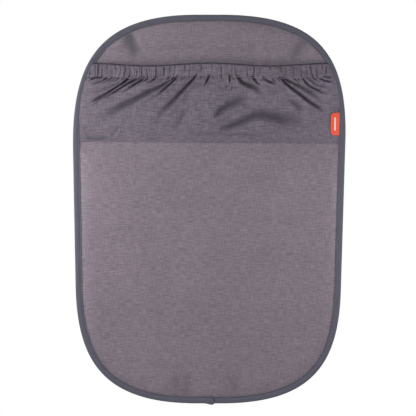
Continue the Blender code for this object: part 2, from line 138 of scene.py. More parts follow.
@dataclass(frozen=True)
class Ripple:
    """Gentle unevenness: how high it is, how wide along both coordinates, and which draw."""

    height: float
    cell_x: float
    cell_y: float
    seed: int

    def at(self, x: Array, y: Array = 0.0) -> Array:
        """The unevenness at some places."""
        return self.height * hills(x, y, self.cell_x, self.cell_y, self.seed)


def bell(distance: Array, width: float) -> Array:
    """1 at no distance, and smoothly down to 0 past the width."""
    return np.exp(-((distance / width) ** 2))


def run_along(points: Array) -> Array:
    """Distance along a line at each of its points.

    Args:
        points: The line's points, one a row.

    Returns:
        The distances, from zero.
    """
    return np.r_[0.0, np.cumsum(np.linalg.norm(np.diff(points, axis=0), axis=1))]


def at_run(at: Array, run: Array, points: Array) -> Array:
    """Points of a line at some distances along it.

    Args:
        at: The distances.
        run: Distance along the line at each of its points.
        points: The line's points, one a row.

    Returns:
        A point for each distance, its coordinates last.
    """
    return np.stack([np.interp(at, run, column) for column in points.T], -1)


def unit(directions: Array) -> Array:
    """Directions at a length of one."""
    return directions / np.linalg.norm(directions, axis=-1, keepdims=True)


def facing(line: Array, toward: float) -> Array:
    """Directions straight to the front or to the back, one for each point of a line."""
    return np.zeros_like(line) + [0.0, toward, 0.0]


# Outline of the mat


@dataclass(frozen=True)
class SideEdge:
    """One long side of the oval: its straight run and how softly it turns at both ends."""

    sign: int
    foot_inset: float
    shoulder_drop: float
    shoulder_ease: float
    foot_rise: float
    foot_ease: float


@dataclass(frozen=True)
class Outline:
    """The oval's edge, with sides that differ a little."""

    height: float = 0.635
    width: float = 0.445
    level: float = 0.0195
    top_ease: float = 0.159
    bottom_ease: float = 0.150
    right: SideEdge = SideEdge(1, 0.0074, 0.2072, 0.143, 0.1844, 0.119)
    left: SideEdge = SideEdge(-1, 0.0042, 0.2211, 0.147, 0.1924, 0.128)
    points: int = 2400
    bend_points: int = 400
    coarse: int = 8

    @functools.lru_cache
    def curve(self, side: SideEdge) -> tuple[Array, Array]:
        """Even points down one side, from the top centre to the bottom centre.

        Args:
            side: Which side.

        Returns:
            The (x, height) points and the inward directions there.
        """
        top_end = np.array([self.level, self.height])
        shoulder = np.array([self.width / 2, self.height - side.shoulder_drop])
        foot = np.array([self.width / 2 - side.foot_inset, side.foot_rise])
        rest = np.array([self.level, 0.0])
        down = unit(foot - shoulder)
        across = np.array([1.0, 0.0])
        t = np.linspace(0.0, 1.0, self.bend_points)[:, None]
        bends = []
        for a, b, c, d in (
            (top_end, top_end + self.top_ease * across,
             shoulder - side.shoulder_ease * down, shoulder),
            (foot, foot + side.foot_ease * down, rest + self.bottom_ease * across, rest),
        ):
            bends.append((1 - t) ** 3 * a + 3 * (1 - t) ** 2 * t * b
                         + 3 * (1 - t) * t**2 * c + t**3 * d)
        raw = np.vstack(([[0.0, self.height]], *bends, [[0.0, 0.0]]))
        run = run_along(raw)
        curve = at_run(np.linspace(0.0, run[-1], self.points), run, raw)
        heading = unit(np.gradient(curve, axis=0))
        inward = np.column_stack((heading[:, 1], -heading[:, 0]))
        flip = [side.sign, 1.0]
        return curve * flip, inward * flip

    def side_x(self, side: SideEdge, heights: Array, inset: float) -> Array:
        """x of one side at some heights, moved inwards.

        Args:
            side: Which side.
            heights: Heights above the bottom edge.
            inset: How far inwards from the edge.

        Returns:
            The x of the moved edge.
        """
        curve, inward = self.curve(side)
        moved = curve + inset * inward
        return np.interp(-np.asarray(heights), -moved[:, 1], moved[:, 0])

    def across(self, share: Array, heights: Array, inset: float) -> Array:
        """x at a share of the half width, from -1 at the left edge to 1 at the right edge.

        Args:
            share: The share of the half width.
            heights: Heights above the bottom edge.
            inset: How far inwards from the edge the full share lies.

        Returns:
            The x values.
        """
        right = self.side_x(self.right, heights, inset)
        left = self.side_x(self.left, heights, inset)
        return np.where(share > 0, share * right, -share * left)

    @functools.lru_cache
    def loop(self) -> tuple[Array, Array, Array]:
        """The whole edge from the bottom centre, up the right side and down the left.

        Returns:
            The (x, height) points, the inward directions and the run in metres.
        """
        right, right_in = self.curve(self.right)
        left, left_in = self.curve(self.left)
        points = np.vstack((right[::-1], left[1:]))
        inward = np.vstack((right_in[::-1], left_in[1:]))
        return points, inward, run_along(points)

    def distance(self, x: Array, height: Array) -> Array:
        """How far places inside the edge are from it.

        Args:
            x: To the right, as (rows, columns).
            height: Above the bottom edge, of the same shape.

        Returns:
            The distances, of the same shape.
        """
        points = self.loop()[0][::self.coarse]
        return np.array([
            np.hypot(row_x[:, None] - points[:, 0], row_height[:, None] - points[:, 1]).min(1)
            for row_x, row_height in zip(x, height)])

    def along(self, run: Array) -> tuple[Array, Array]:
        """Points of the edge at distances along it, past one round too.

        Args:
            run: Distances from the bottom centre, going to the right.

        Returns:
            The (x, height) points and the inward directions.
        """
        points, inward, total = self.loop()
        at = np.mod(run, total[-1])
        return at_run(at, total, points), unit(at_run(at, total, inward))


OUTLINE = Outline()


def place(x: Array, height: Array, depth: Array) -> Array:
    """World places of points given by x, height and depth.

    Args:
        x: To the right, as seen from the front.
        height: Up from the mat's bottom edge.
        depth: From the back face towards the front.

    Returns:
        An array with x, y and z last.
    """
    x, height, depth = np.broadcast_arrays(x, height, depth)
    return np.stack((x, -depth, height - OUTLINE.height / 2), -1)


# Meshes


def add_object(name: str, mesh: bpy.types.Mesh) -> Piece:
    """Put a mesh in the scene as an object at the origin, shaded smooth.

    Args:
        name: The object's name.
        mesh: Its mesh.

    Returns:
        The new object.
    """
    obj = bpy.data.objects.new(name, mesh)
    bpy.context.scene.collection.objects.link(obj)
    mesh.shade_smooth()
    return obj


def grid_normals(grid: Array) -> Array:
    """Normals of a grid of points whose rows go down and whose columns go right.

    Args:
        grid: Points as (rows, columns, 3).

    Returns:
        Unit normals of the same shape, towards the front of an upright grid.
    """
    normals = np.cross(np.gradient(grid, axis=0), np.gradient(grid, axis=1))
    return normals / np.maximum(np.linalg.norm(normals, axis=-1, keepdims=True), 1e-12)


def shell(name: str, outer: Array, inner: Array, uv: Array | None = None,
          painted_shade: Array | None = None) -> Piece:
    """A closed cloth solid between two grids of the same shape.

    Args:
        name: The piece's name.
        outer: Points of the outer face as (rows, columns, 3).
        inner: Points of the inner face.
        uv: Distances along the cloth as (rows, columns, 2), in metres.
        painted_shade: How much shade is painted on the cloth, from 0 to 1, as (rows, columns).

    Returns:
        The new object, at the origin.
    """
    rows, columns = outer.shape[:2]
    index = np.arange(rows * columns).reshape(rows, columns)
    a, b, c, d = index[:-1, :-1], index[1:, :-1], index[1:, 1:], index[:-1, 1:]
    front = np.stack((a, b, c, d), -1).reshape(-1, 4)
    far = rows * columns
    back = front[:, ::-1] + far
    rim = np.concatenate((index[:, 0], index[-1, 1:], index[-2::-1, -1], index[0, -2:0:-1]))
    after = np.roll(rim, -1)
    border = np.stack((after, rim, rim + far, after + far), -1)
    faces = np.vstack((front, back, border))
    points = np.vstack((outer.reshape(-1, 3), inner.reshape(-1, 3)))
    mesh = bpy.data.meshes.new(name)
    mesh.from_pydata(points.tolist(), [], faces.tolist())
    mesh.validate()
    if uv is not None:
        flat = np.vstack((uv.reshape(-1, 2), uv.reshape(-1, 2)))
        corners = np.empty(len(mesh.loops), np.int32)
        mesh.loops.foreach_get("vertex_index", corners)
        layer = mesh.uv_layers.new(name="UVMap")
        layer.data.foreach_set("uv", flat[corners].astype(np.float32).ravel())
    if painted_shade is not None:
        # The painted shade, stored on each point for the cloth's material
        shade_paint = np.tile(painted_shade.ravel(), 2).astype(np.float32)
        mesh.attributes.new("painted_shade", "FLOAT", "POINT").data.foreach_set("value", shade_paint)
    obj = add_object(name, mesh)
    mesh.set_sharp_from_angle(angle=SHARP_ANGLE)
    return obj


def ribbon(name: str, line: Array, height: float, width: float, thickness: float,
           rows: int = 9) -> Piece:
    """A flat strap with soft edges that runs along X behind the mat.

    Args:
        name: The piece's name.
        line: Middle line as (x, distance behind the back face).
        height: Height of the strap's middle.
        width: The strap's width.
        thickness: The strap's thickness.
        rows: Points across the width.

    Returns:
        The new object.
    """
    thinnest, squareness = 0.25, 5
    across = np.sin(np.linspace(math.pi / 2, -math.pi / 2, rows))[:, None]
    half = thickness / 2 * np.maximum(thinnest, (1 - np.abs(across) ** squareness) ** 0.5)
    line = line[np.argsort(line[:, 0])]
    slope = np.gradient(line[:, 1], line[:, 0])
    lean = unit(np.stack((-slope, np.ones_like(slope)), -1))
    level = height + across * width / 2
    faces = []
    for sign in (-1, 1):
        x = line[:, 0] + sign * half * lean[:, 0]
        behind = line[:, 1] + sign * half * lean[:, 1]
        faces.append(place(x, level, -behind))
    uv = np.stack(np.broadcast_arrays(run_along(line), across * width / 2), -1)
    return shell(name, faces[0], faces[1], uv)


def dress(obj: Piece, finish: "Finish", slot: str, *nodes: str) -> Piece:
    """Give a piece its material and its place in the frame.

    Args:
        obj: The piece.
        finish: Its finish.
        slot: The record's material slot. Not used.
        nodes: CAD nodes that it stands for.

    Returns:
        The same piece.
    """
    obj.data.materials.clear()
    obj.data.materials.append(finish.material())
    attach(obj, "root")
    if nodes:
        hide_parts(*nodes)
    LOG.info("%s: %d faces, %s", obj.name, len(obj.data.polygons), finish.name)
    return obj


# Finishes

# At a scale of one, the Wave Texture node's bands are this far apart
BAND_STEP = 2 * math.pi / 20
# Numbers of the Mix node's two colour inputs and of its colour output
COLOUR_A = 6
COLOUR_B = 7
COLOUR_OUT = 2


def add_node(tree: Tree, kind: str, settings: dict | None = None,
             inputs: dict | None = None) -> bpy.types.Node:
    """Add a node with its settings and links.

    Args:
        tree: Node tree that gets it.
        kind: The node's type without the leading "ShaderNode".
        settings: Property values by name.
        inputs: A value or an output socket for each input, by name or number.

    Returns:
        The new node.
    """
    node = tree.nodes.new("ShaderNode" + kind)
    for key, value in (settings or {}).items():
        setattr(node, key, value)
    for key, value in (inputs or {}).items():
        if isinstance(value, Socket):
            tree.links.new(value, node.inputs[key])
        else:
            node.inputs[key].default_value = value
    return node


class Pattern(Enum):
    """Which coordinates a finish follows."""

    FLAT = "Object"
    ALONG = "UV"


@dataclass(frozen=True)
class Finish:
    """A cloth-like finish: two close colours mixed by its threads, and a relief of them."""

    name: str
    light: str
    dark: str
    roughness: float
    sheen: float = 0.0
    relief: float = 0.0001
    pattern: Pattern = Pattern.FLAT
    gloss: float = 0.3
    sheen_roughness: float = 0.4

    def coordinates(self, tree: Tree) -> Socket:
        """Where the pattern is read."""
        return add_node(tree, "TexCoord").outputs[self.pattern.value]

    def threads(self, tree: Tree, at: Socket, pitch: tuple[float, float, float],
                detail: float = 1.0) -> Socket:
        """Noise drawn out along the threads.

        Args:
            tree: Node tree that gets the nodes.
            at: Where the pattern is read.
            pitch: Size of a spot along each axis, in metres.
            detail: Octaves of finer noise.

        Returns:
            Values about one half.
        """
        scale = tuple(1.0 / size for size in pitch)
        mapped = add_node(tree, "Mapping", inputs={"Vector": at, "Scale": scale})
        noise = add_node(tree, "TexNoise", inputs={
            "Vector": mapped.outputs["Vector"], "Scale": 1.0, "Detail": detail})
        return noise.outputs["Fac"]

    def wave(self, tree: Tree, at: Socket, axis: str, pitch: float,
             distortion: float = 0.0) -> Socket:
        """Even ribs across one axis.

        Args:
            tree: Node tree that gets the nodes.
            at: Where the pattern is read.
            axis: Axis that the ribs follow one another along.
            pitch: From one rib to the next, in metres.
            distortion: How uneven the ribs are.

        Returns:
            Values from 0 to 1.
        """
        node = add_node(tree, "TexWave", {"wave_type": "BANDS", "bands_direction": axis}, {
            "Vector": at, "Scale": BAND_STEP / pitch, "Distortion": distortion, "Detail": 1.0})
        return node.outputs["Fac"]

    def blend(self, tree: Tree, parts: list[tuple[Socket, float]]) -> Socket:
        """Add up patterns, each about its middle, round one half.

        Args:
            tree: Node tree that gets the nodes.
            parts: Each pattern with its weight.

        Returns:
            The sum, held between 0 and 1.
        """
        total: Socket | float = 0.5 - sum(weight for _, weight in parts) / 2
        for k, (socket, weight) in enumerate(parts):
            last = k == len(parts) - 1
            total = add_node(tree, "Math", {"operation": "MULTIPLY_ADD", "use_clamp": last}, {
                0: socket, 1: weight, 2: total}).outputs[0]
        return total

    def weave(self, tree: Tree, at: Socket) -> tuple[Socket, Socket]:
        """The finish's own pattern.

        Args:
            tree: Node tree that gets the nodes.
            at: Where the pattern is read.

        Returns:
            The colour's share of the light colour, and the height of the relief.
        """
        raise NotImplementedError

    def tint(self, tree: Tree, at: Socket, colour: Socket) -> Socket:
        """Colour laid over the weave, such as print or painted shade: nothing here."""
        return colour

    def material(self) -> bpy.types.Material:
        """Build the material, once for all the pieces that have it.

        Returns:
            The material.
        """
        made = bpy.data.materials.get(self.name)
        if made:
            return made
        made = bpy.data.materials.new(self.name)
        made.use_nodes = True
        tree = made.node_tree
        shader = tree.nodes["Principled BSDF"]
        at = self.coordinates(tree)
        share, height = self.weave(tree, at)
        mixed = add_node(tree, "Mix", {"data_type": "RGBA"}, {
            "Factor": share, COLOUR_A: linear(self.dark), COLOUR_B: linear(self.light)})
        colour = self.tint(tree, at, mixed.outputs[COLOUR_OUT])
        tree.links.new(colour, shader.inputs["Base Color"])
        bump = add_node(tree, "Bump", inputs={
            "Height": height, "Distance": self.relief, "Strength": 1.0})
        tree.links.new(bump.outputs["Normal"], shader.inputs["Normal"])
        for name, value in (("Roughness", self.roughness), ("Specular IOR Level", self.gloss),
                            ("Sheen Weight", self.sheen),
                            ("Sheen Roughness", self.sheen_roughness)):
            shader.inputs[name].default_value = value
        return made


@dataclass(frozen=True)
class SlubCloth(Finish):
    """Plain-woven polyester with slubs, like linen: a soft cross-hatch of thicker threads.

    The real threads are 0.45 mm apart, too fine to show, so the slubs are drawn about 1.3 mm
    wide, which is how they show from two metres away.
    """

    slub: float = 0.0013
    slub_length: float = 0.0125
    contrast: float = 2.0
    cloud: float = 0.4
    # Colour of the painted shade in folds, gathers and dents
    shade_paint: str = "#2c2a35"
    through: float = 0.05
    warp_weight: float = 0.7
    band_weight: float = 0.35
    band_pitch: tuple[float, float, float] = (0.18, 0.2, 0.007)
    cloud_pitch: tuple[float, float, float] = (0.07, 0.2, 0.07)
    relief_weight: float = 0.8

    def weave(self, tree: Tree, at: Socket) -> tuple[Socket, Socket]:
        """Slubs both ways, faint weft bands and slow clouding of the dye.

        Args:
            tree: Node tree that gets the nodes.
            at: Where the pattern is read.

        Returns:
            The colour's share of the light colour, and the height of the relief.
        """
        warp = self.threads(tree, at, (self.slub, self.through, self.slub_length))
        weft = self.threads(tree, at, (self.slub_length, self.through, self.slub))
        bands = self.threads(tree, at, self.band_pitch, detail=2.0)
        cloud = self.threads(tree, at, self.cloud_pitch)
        share = self.blend(tree, [
            (warp, self.warp_weight * self.contrast), (weft, self.contrast),
            (bands, self.band_weight), (cloud, self.cloud)])
        relief = self.blend(tree, [(warp, self.relief_weight), (weft, self.relief_weight)])
        return share, relief

    def tint(self, tree: Tree, at: Socket, colour: Socket) -> Socket:
        """Paint shade over the cloth where it sinks into a fold, by mixing it towards the shade
        colour.

        Args:
            tree: Node tree that gets the nodes.
            at: Where the pattern is read.
            colour: Colour of the weave.

        Returns:
            The colour with it.
        """
        # Painted shade: the painted_shade attribute mixes the weave towards shade_paint.
        painted_shade = add_node(tree, "Attribute", {"attribute_name": "painted_shade"}).outputs["Fac"]
        return add_node(tree, "Mix", {"data_type": "RGBA"}, {
            "Factor": painted_shade, COLOUR_A: colour, COLOUR_B: linear(self.shade_paint)}
        ).outputs[COLOUR_OUT]


@dataclass(frozen=True)
class RibbedTape(Finish):
    """Grosgrain binding tape: fine ribs across a firm, slightly glossy polyester ribbon."""

    rib: float = 0.0011
    waver: float = 0.4
    rib_weight: float = 0.25
    cloud_weight: float = 0.7
    cloud_pitch: tuple[float, float, float] = (0.02, 0.003, 1.0)

    def weave(self, tree: Tree, at: Socket) -> tuple[Socket, Socket]:
        """Ribs that follow one another along the tape, with uneven dye.

        Args:
            tree: Node tree that gets the nodes.
            at: Where the pattern is read.

        Returns:
            The colour's share of the light colour, and the height of the relief.
        """
        ribs = self.wave(tree, at, "X", self.rib, self.waver)
        cloud = self.threads(tree, at, self.cloud_pitch, detail=2.0)
        return self.blend(tree, [(ribs, self.rib_weight), (cloud, self.cloud_weight)]), ribs


@dataclass(frozen=True)
class Webbing(Finish):
    """Polypropylene webbing: a close zigzag of glossy yarns between two plain edges."""

    pick: float = 0.0021
    column: float = 0.0042
    pick_weights: tuple[float, float] = (0.5, 0.6)
    column_weights: tuple[float, float] = (0.4, 0.4)
    pick_waver: float = 0.3
    column_waver: float = 0.2

    def weave(self, tree: Tree, at: Socket) -> tuple[Socket, Socket]:
        """Zigzag columns along the strap.

        Args:
            tree: Node tree that gets the nodes.
            at: Where the pattern is read.

        Returns:
            The colour's share of the light colour, and the height of the relief.
        """
        along = self.wave(tree, at, "X", self.pick, self.pick_waver)
        across = self.wave(tree, at, "Z", self.column, self.column_waver)
        share, relief = (self.blend(tree, [(along, pick), (across, column)])
                         for pick, column in zip(self.pick_weights, self.column_weights))
        return share, relief


@dataclass(frozen=True)
class Grain(Finish):
    """A close-napped or felted surface, with no thread direction to see."""

    spot: float = 0.0009
    cloud: float = 0.05
    spot_weight: float = 0.9
    cloud_weight: float = 0.5

    def weave(self, tree: Tree, at: Socket) -> tuple[Socket, Socket]:
        """Fine grain over slow clouding.

        Args:
            tree: Node tree that gets the nodes.
            at: Where the pattern is read.

        Returns:
            The colour's share of the light colour, and the height of the relief.
        """
        grain = self.threads(tree, at, (self.spot,) * 3, detail=3.0)
        cloud = self.threads(tree, at, (self.cloud,) * 3, detail=2.0)
        return self.blend(tree, [(grain, self.spot_weight), (cloud, self.cloud_weight)]), grain


@dataclass(frozen=True)
class Knit(Finish):
    """Knitted elastic: lengthwise ribs of rubber-cored yarn crossed by fine picks."""

    rib: float = 0.0022
    pick: float = 0.0013
    rib_weights: tuple[float, float] = (0.7, 0.8)
    pick_weights: tuple[float, float] = (0.3, 0.2)
    rib_waver: float = 0.1
    pick_waver: float = 0.4

    def weave(self, tree: Tree, at: Socket) -> tuple[Socket, Socket]:
        """Ribs along the band crossed by picks.

        Args:
            tree: Node tree that gets the nodes.
            at: Where the pattern is read.

        Returns:
            The colour's share of the light colour, and the height of the relief.
        """
        ribs = self.wave(tree, at, "Z", self.rib, self.rib_waver)
        picks = self.wave(tree, at, "X", self.pick, self.pick_waver)
        share, relief = (self.blend(tree, [(ribs, rib), (picks, pick)])
                         for rib, pick in zip(self.rib_weights, self.pick_weights))
        return share, relief


@dataclass(frozen=True)
class SatinRibbon(Finish):
    """Woven satin ribbon: bright, fine crosswise picks and one plain pale stripe."""

    pick: float = 0.0008
    stripe: str = "#f7e9e4"
    stripe_centre: tuple[float, float] = (0.0, 0.0)
    stripe_size: tuple[float, float] = (0.0024, 0.021)
    stripe_edge: float = 0.0002
    pick_weight: float = 0.3
    pick_waver: float = 0.2
    cloud_weight: float = 0.5
    cloud_pitch: tuple[float, float, float] = (0.004, 0.1, 0.009)

    def weave(self, tree: Tree, at: Socket) -> tuple[Socket, Socket]:
        """Fine picks with a slight change of dye.

        Args:
            tree: Node tree that gets the nodes.
            at: Where the pattern is read.

        Returns:
            The colour's share of the light colour, and the height of the relief.
        """
        picks = self.wave(tree, at, "Z", self.pick, self.pick_waver)
        cloud = self.threads(tree, at, self.cloud_pitch, detail=2.0)
        return self.blend(tree, [(picks, self.pick_weight), (cloud, self.cloud_weight)]), picks

    def tint(self, tree: Tree, at: Socket, colour: Socket) -> Socket:
        """Add one plain pale stripe along the middle of the ribbon.

        Args:
            tree: Node tree that gets the nodes.
            at: Where the pattern is read.
            colour: Colour of the weave.

        Returns:
            The colour with it.
        """
        parts = add_node(tree, "SeparateXYZ", inputs={0: at})
        inside = None
        for axis, middle, size in zip(("X", "Z"), self.stripe_centre, self.stripe_size):
            away = add_node(tree, "Math", {"operation": "SUBTRACT"}, {
                0: parts.outputs[axis], 1: middle}).outputs[0]
            away = add_node(tree, "Math", {"operation": "ABSOLUTE"}, {0: away}).outputs[0]
            near = add_node(tree, "MapRange", {"interpolation_type": "SMOOTHSTEP"}, {
                "Value": away, "From Min": size / 2 + self.stripe_edge,
                "From Max": size / 2 - self.stripe_edge}).outputs["Result"]
            inside = near if inside is None else add_node(
                tree, "Math", {"operation": "MULTIPLY"}, {0: inside, 1: near}).outputs[0]
        return add_node(tree, "Mix", {"data_type": "RGBA"}, {
            "Factor": inside, COLOUR_A: colour, COLOUR_B: linear(self.stripe)}
        ).outputs[COLOUR_OUT]


# Dull mauve grey with a fine cross-hatch: the linen look of the whole front.
FACE_FINISH = SlubCloth("Mauve grey slub polyester", "#8f828d", "#6d626c", 0.55, 0.1, 0.00008,
                         gloss=0.5)
# The same cloth as the face, its colours set darker as painted shade for the shade and duller sheen of
# the pocket; it is also more streaked.
POCKET_FINISH = SlubCloth("Mauve grey pocket polyester", "#827885", "#5f5660", 0.64, 0.05, 0.00006,
                           gloss=0.35, contrast=2.3, cloud=0.8)
# Matt black fuzz without a weave.
BACK_FINISH = Grain("Black needled backing felt", "#454347", "#2f2e31", 0.9, 0.1, 0.0001)
# A smooth blue grey frame with fine crosswise ribs, darker than the cloth.
TAPE_FINISH = RibbedTape("Slate grey grosgrain tape", "#676673", "#4f4e59", 0.6, 0.05, 0.00006,
                         Pattern.ALONG)
# Slightly shiny black straps with a coarse chevron.
WEB_FINISH = Webbing("Black polypropylene webbing", "#39383b", "#1d1c1e", 0.5, 0.0, 0.0002)
# Matt black with lengthwise ribs, as stretch tape has.
KNIT_FINISH = Knit("Black knitted elastic", "#38373a", "#1f1e20", 0.8, 0.1, 0.0002)
# The deepest black, with the speckle of hooks and loops.
PILE_FINISH = Grain("Black hook and loop tape", "#2e2d30", "#161517", 0.95, 0.2, 0.0004, spot=0.0012)
# Threads a little lighter or darker than what they are sewn on, so that seams show close up.
CLOTH_THREAD = Grain("Mauve grey sewing thread", "#857c86", "#665e67", 0.6, 0.05, 0.00003, spot=0.0005)
DARK_THREAD = Grain("Slate grey sewing thread", "#66666f", "#4c4c55", 0.6, 0.05, 0.00003, spot=0.0005)
BLACK_THREAD = Grain("Black sewing thread", "#39383b", "#232225", 0.6, 0.05, 0.00003, spot=0.0005)


# Panels


@dataclass(frozen=True)
class Dent:
    """A soft hollow (or, below zero, a swelling) of the slack face cloth, along a line."""

    start: tuple[float, float]
    end: tuple[float, float]
    half_width: float
    depth: float
    fade_in: tuple[float, float] = (-0.15, 0.25)
    fade_out: tuple[float, float] = (-1.15, -0.65)

    def lift(self, x: Array, height: Array) -> Array:
        """How far the cloth stands out here.

        Args:
            x: To the right.
            height: Above the bottom edge.

        Returns:
            The lift, in metres.
        """
        a, b = np.array(self.start), np.array(self.end)
        length = np.linalg.norm(b - a)
        heading = (b - a) / length
        along = ((x - a[0]) * heading[0] + (height - a[1]) * heading[1]) / length
        off = (x - a[0]) * heading[1] - (height - a[1]) * heading[0]
        fade = ease(along, *self.fade_in) * ease(-along, *self.fade_out)
        return -self.depth * fade * bell(off, self.half_width)


@dataclass
class Panel:
    """One oval sheet of cloth, cut a little inside the mat's edge."""

    inset: float = 0.0026
    rows: int = 150
    columns: int = 100
    crowding: float = 0.3

    def grid(self) -> tuple[Array, Array]:
        """Points across the panel, in rows that crowd towards its top and bottom.

        Returns:
            Their x and heights, both as (rows, columns).
        """
        curve, inward = OUTLINE.curve(OUTLINE.right)
        moved = curve + self.inset * inward
        low, high = moved[:, 1].min(), moved[:, 1].max()
        t = np.linspace(0.0, 1.0, self.rows)
        crowded = 0.5 - 0.5 * np.cos(math.pi * t)
        share = (1 - self.crowding) * t + self.crowding * crowded
        heights = (high - (high - low) * share)[:, None]
        left = OUTLINE.side_x(OUTLINE.left, heights, self.inset)
        right = OUTLINE.side_x(OUTLINE.right, heights, self.inset)
        x = left + (right - left) * np.linspace(0.0, 1.0, self.columns)
        return x, heights + 0 * x

    def lay(self, piece: Piece, x: Array, heights: Array, rests_on: str) -> Piece:
        """Hand back the sheet as it is.

        Args:
            piece: The sheet.
            x: Its grid's x. Not used.
            heights: Its grid's heights. Not used.
            rests_on: Name of the piece that it lies on. Not used.

        Returns:
            The same sheet.
        """
        return piece


@dataclass
class FacePanel(Panel):
    """The face cloth, a little slack, with soft dents near the top and the bottom."""

    rows: int = 230
    columns: int = 150
    # How it puffs up between the tape and the pocket
    puff: float = 0.0030
    puff_start: float = 0.0104
    puff_margin: float = 0.020
    above_pocket: float = 0.011
    deepest: float = 0.0002
    # Where its slack shows
    mouth: float = 0.556
    pocket_bottom: float = 0.426
    clear: tuple[float, float] = (0.0105, 0.022)
    above_mouth: tuple[float, float] = (-0.012, 0.004)
    below_pocket: tuple[float, float] = (-0.002, 0.006)
    # Its unevenness, its dents and the painted shade in these
    slack: Ripple = Ripple(0.0006, 0.060, 0.085, 3)
    rumple: Ripple = Ripple(0.00025, 0.021, 0.016, 5)
    shade: float = 0.7
    full_shade: float = 0.003
    dents: tuple[Dent, ...] = (
        Dent((-0.136, 0.607), (-0.119, 0.563), 0.0085, 0.0030),
        Dent((-0.130, 0.606), (-0.098, 0.556), 0.0040, 0.0014),
        Dent((-0.116, 0.600), (-0.100, 0.562), 0.0075, -0.0009),
        Dent((0.156, 0.596), (0.133, 0.562), 0.0075, 0.0020),
        Dent((0.155, 0.594), (0.165, 0.570), 0.0035, 0.0012),
        Dent((0.158, 0.592), (0.176, 0.562), 0.0050, -0.0010),
        Dent((-0.109, 0.022), (-0.111, 0.044), 0.003, 0.0006),
        Dent((-0.056, 0.010), (-0.052, 0.046), 0.006, 0.0012),
        Dent((-0.038, 0.010), (-0.034, 0.050), 0.008, 0.0011),
        Dent((0.040, 0.010), (0.042, 0.052), 0.012, 0.0009),
    )

    def depth(self, x: Array, height: Array) -> Array:
        """Depth of the cloth's outer face.

        Args:
            x: To the right.
            height: Above the bottom edge.

        Returns:
            The depth, in metres.
        """
        edge = OUTLINE.distance(x, height)
        above = height - self.mouth - self.above_pocket
        below = self.pocket_bottom - height
        room = np.minimum(edge, np.maximum(above, below))
        rise = 1 - (1 - np.clip((room - self.puff_start) / self.puff_margin, 0.0, 1.0)) ** 2
        depth = FACE_FRONT + self.puff * rise + rise * self.slack.at(x, height)
        open_face = np.maximum(ease(above, *self.above_mouth), ease(below, *self.below_pocket))
        shown = ease(edge, *self.clear) * open_face
        depth = depth + shown * self.rumple.at(x, height)
        for dent in self.dents:
            depth = depth + shown * dent.lift(x, height)
        return np.maximum(depth, FACE_FRONT - self.deepest)

    def build(self) -> Piece:
        """Make the face cloth and dress it.

        Returns:
            The face cloth.
        """
        x, heights = self.grid()
        outer = place(x, heights, self.depth(x, heights))
        inner = outer + [0.0, FACE_CLOTH, 0.0]
        # Painted shade in the dents, darker the deeper they sink
        hollow = -sum(dent.lift(x, heights) for dent in self.dents)
        painted_shade = self.shade * np.clip(hollow / self.full_shade, 0, 1)
        piece = dress(shell("face_cloth", outer, inner, painted_shade=painted_shade), FACE_FINISH, "face_cloth",
                      "front_panel")
        return self.lay(piece, x, heights, "backing_cloth")


@dataclass
class BackPanel(Panel):
    """The backing felt that lies against the seat."""

    waver: Ripple = Ripple(0.00012, 0.05, 0.07, 21)

    def build(self) -> Piece:
        """Make the backing and dress it.

        Returns:
            The backing.
        """
        x, heights = self.grid()
        hollow = self.waver.height + self.waver.at(x, heights)
        inner = place(x, heights, hollow)
        outer = place(x, heights, hollow + BACK_CLOTH)
        piece = dress(shell("backing_cloth", outer, inner), BACK_FINISH, "backing_cloth",
                      "back_panel")
        return self.lay(piece, x, heights, "edge_tape")


# Edge tape


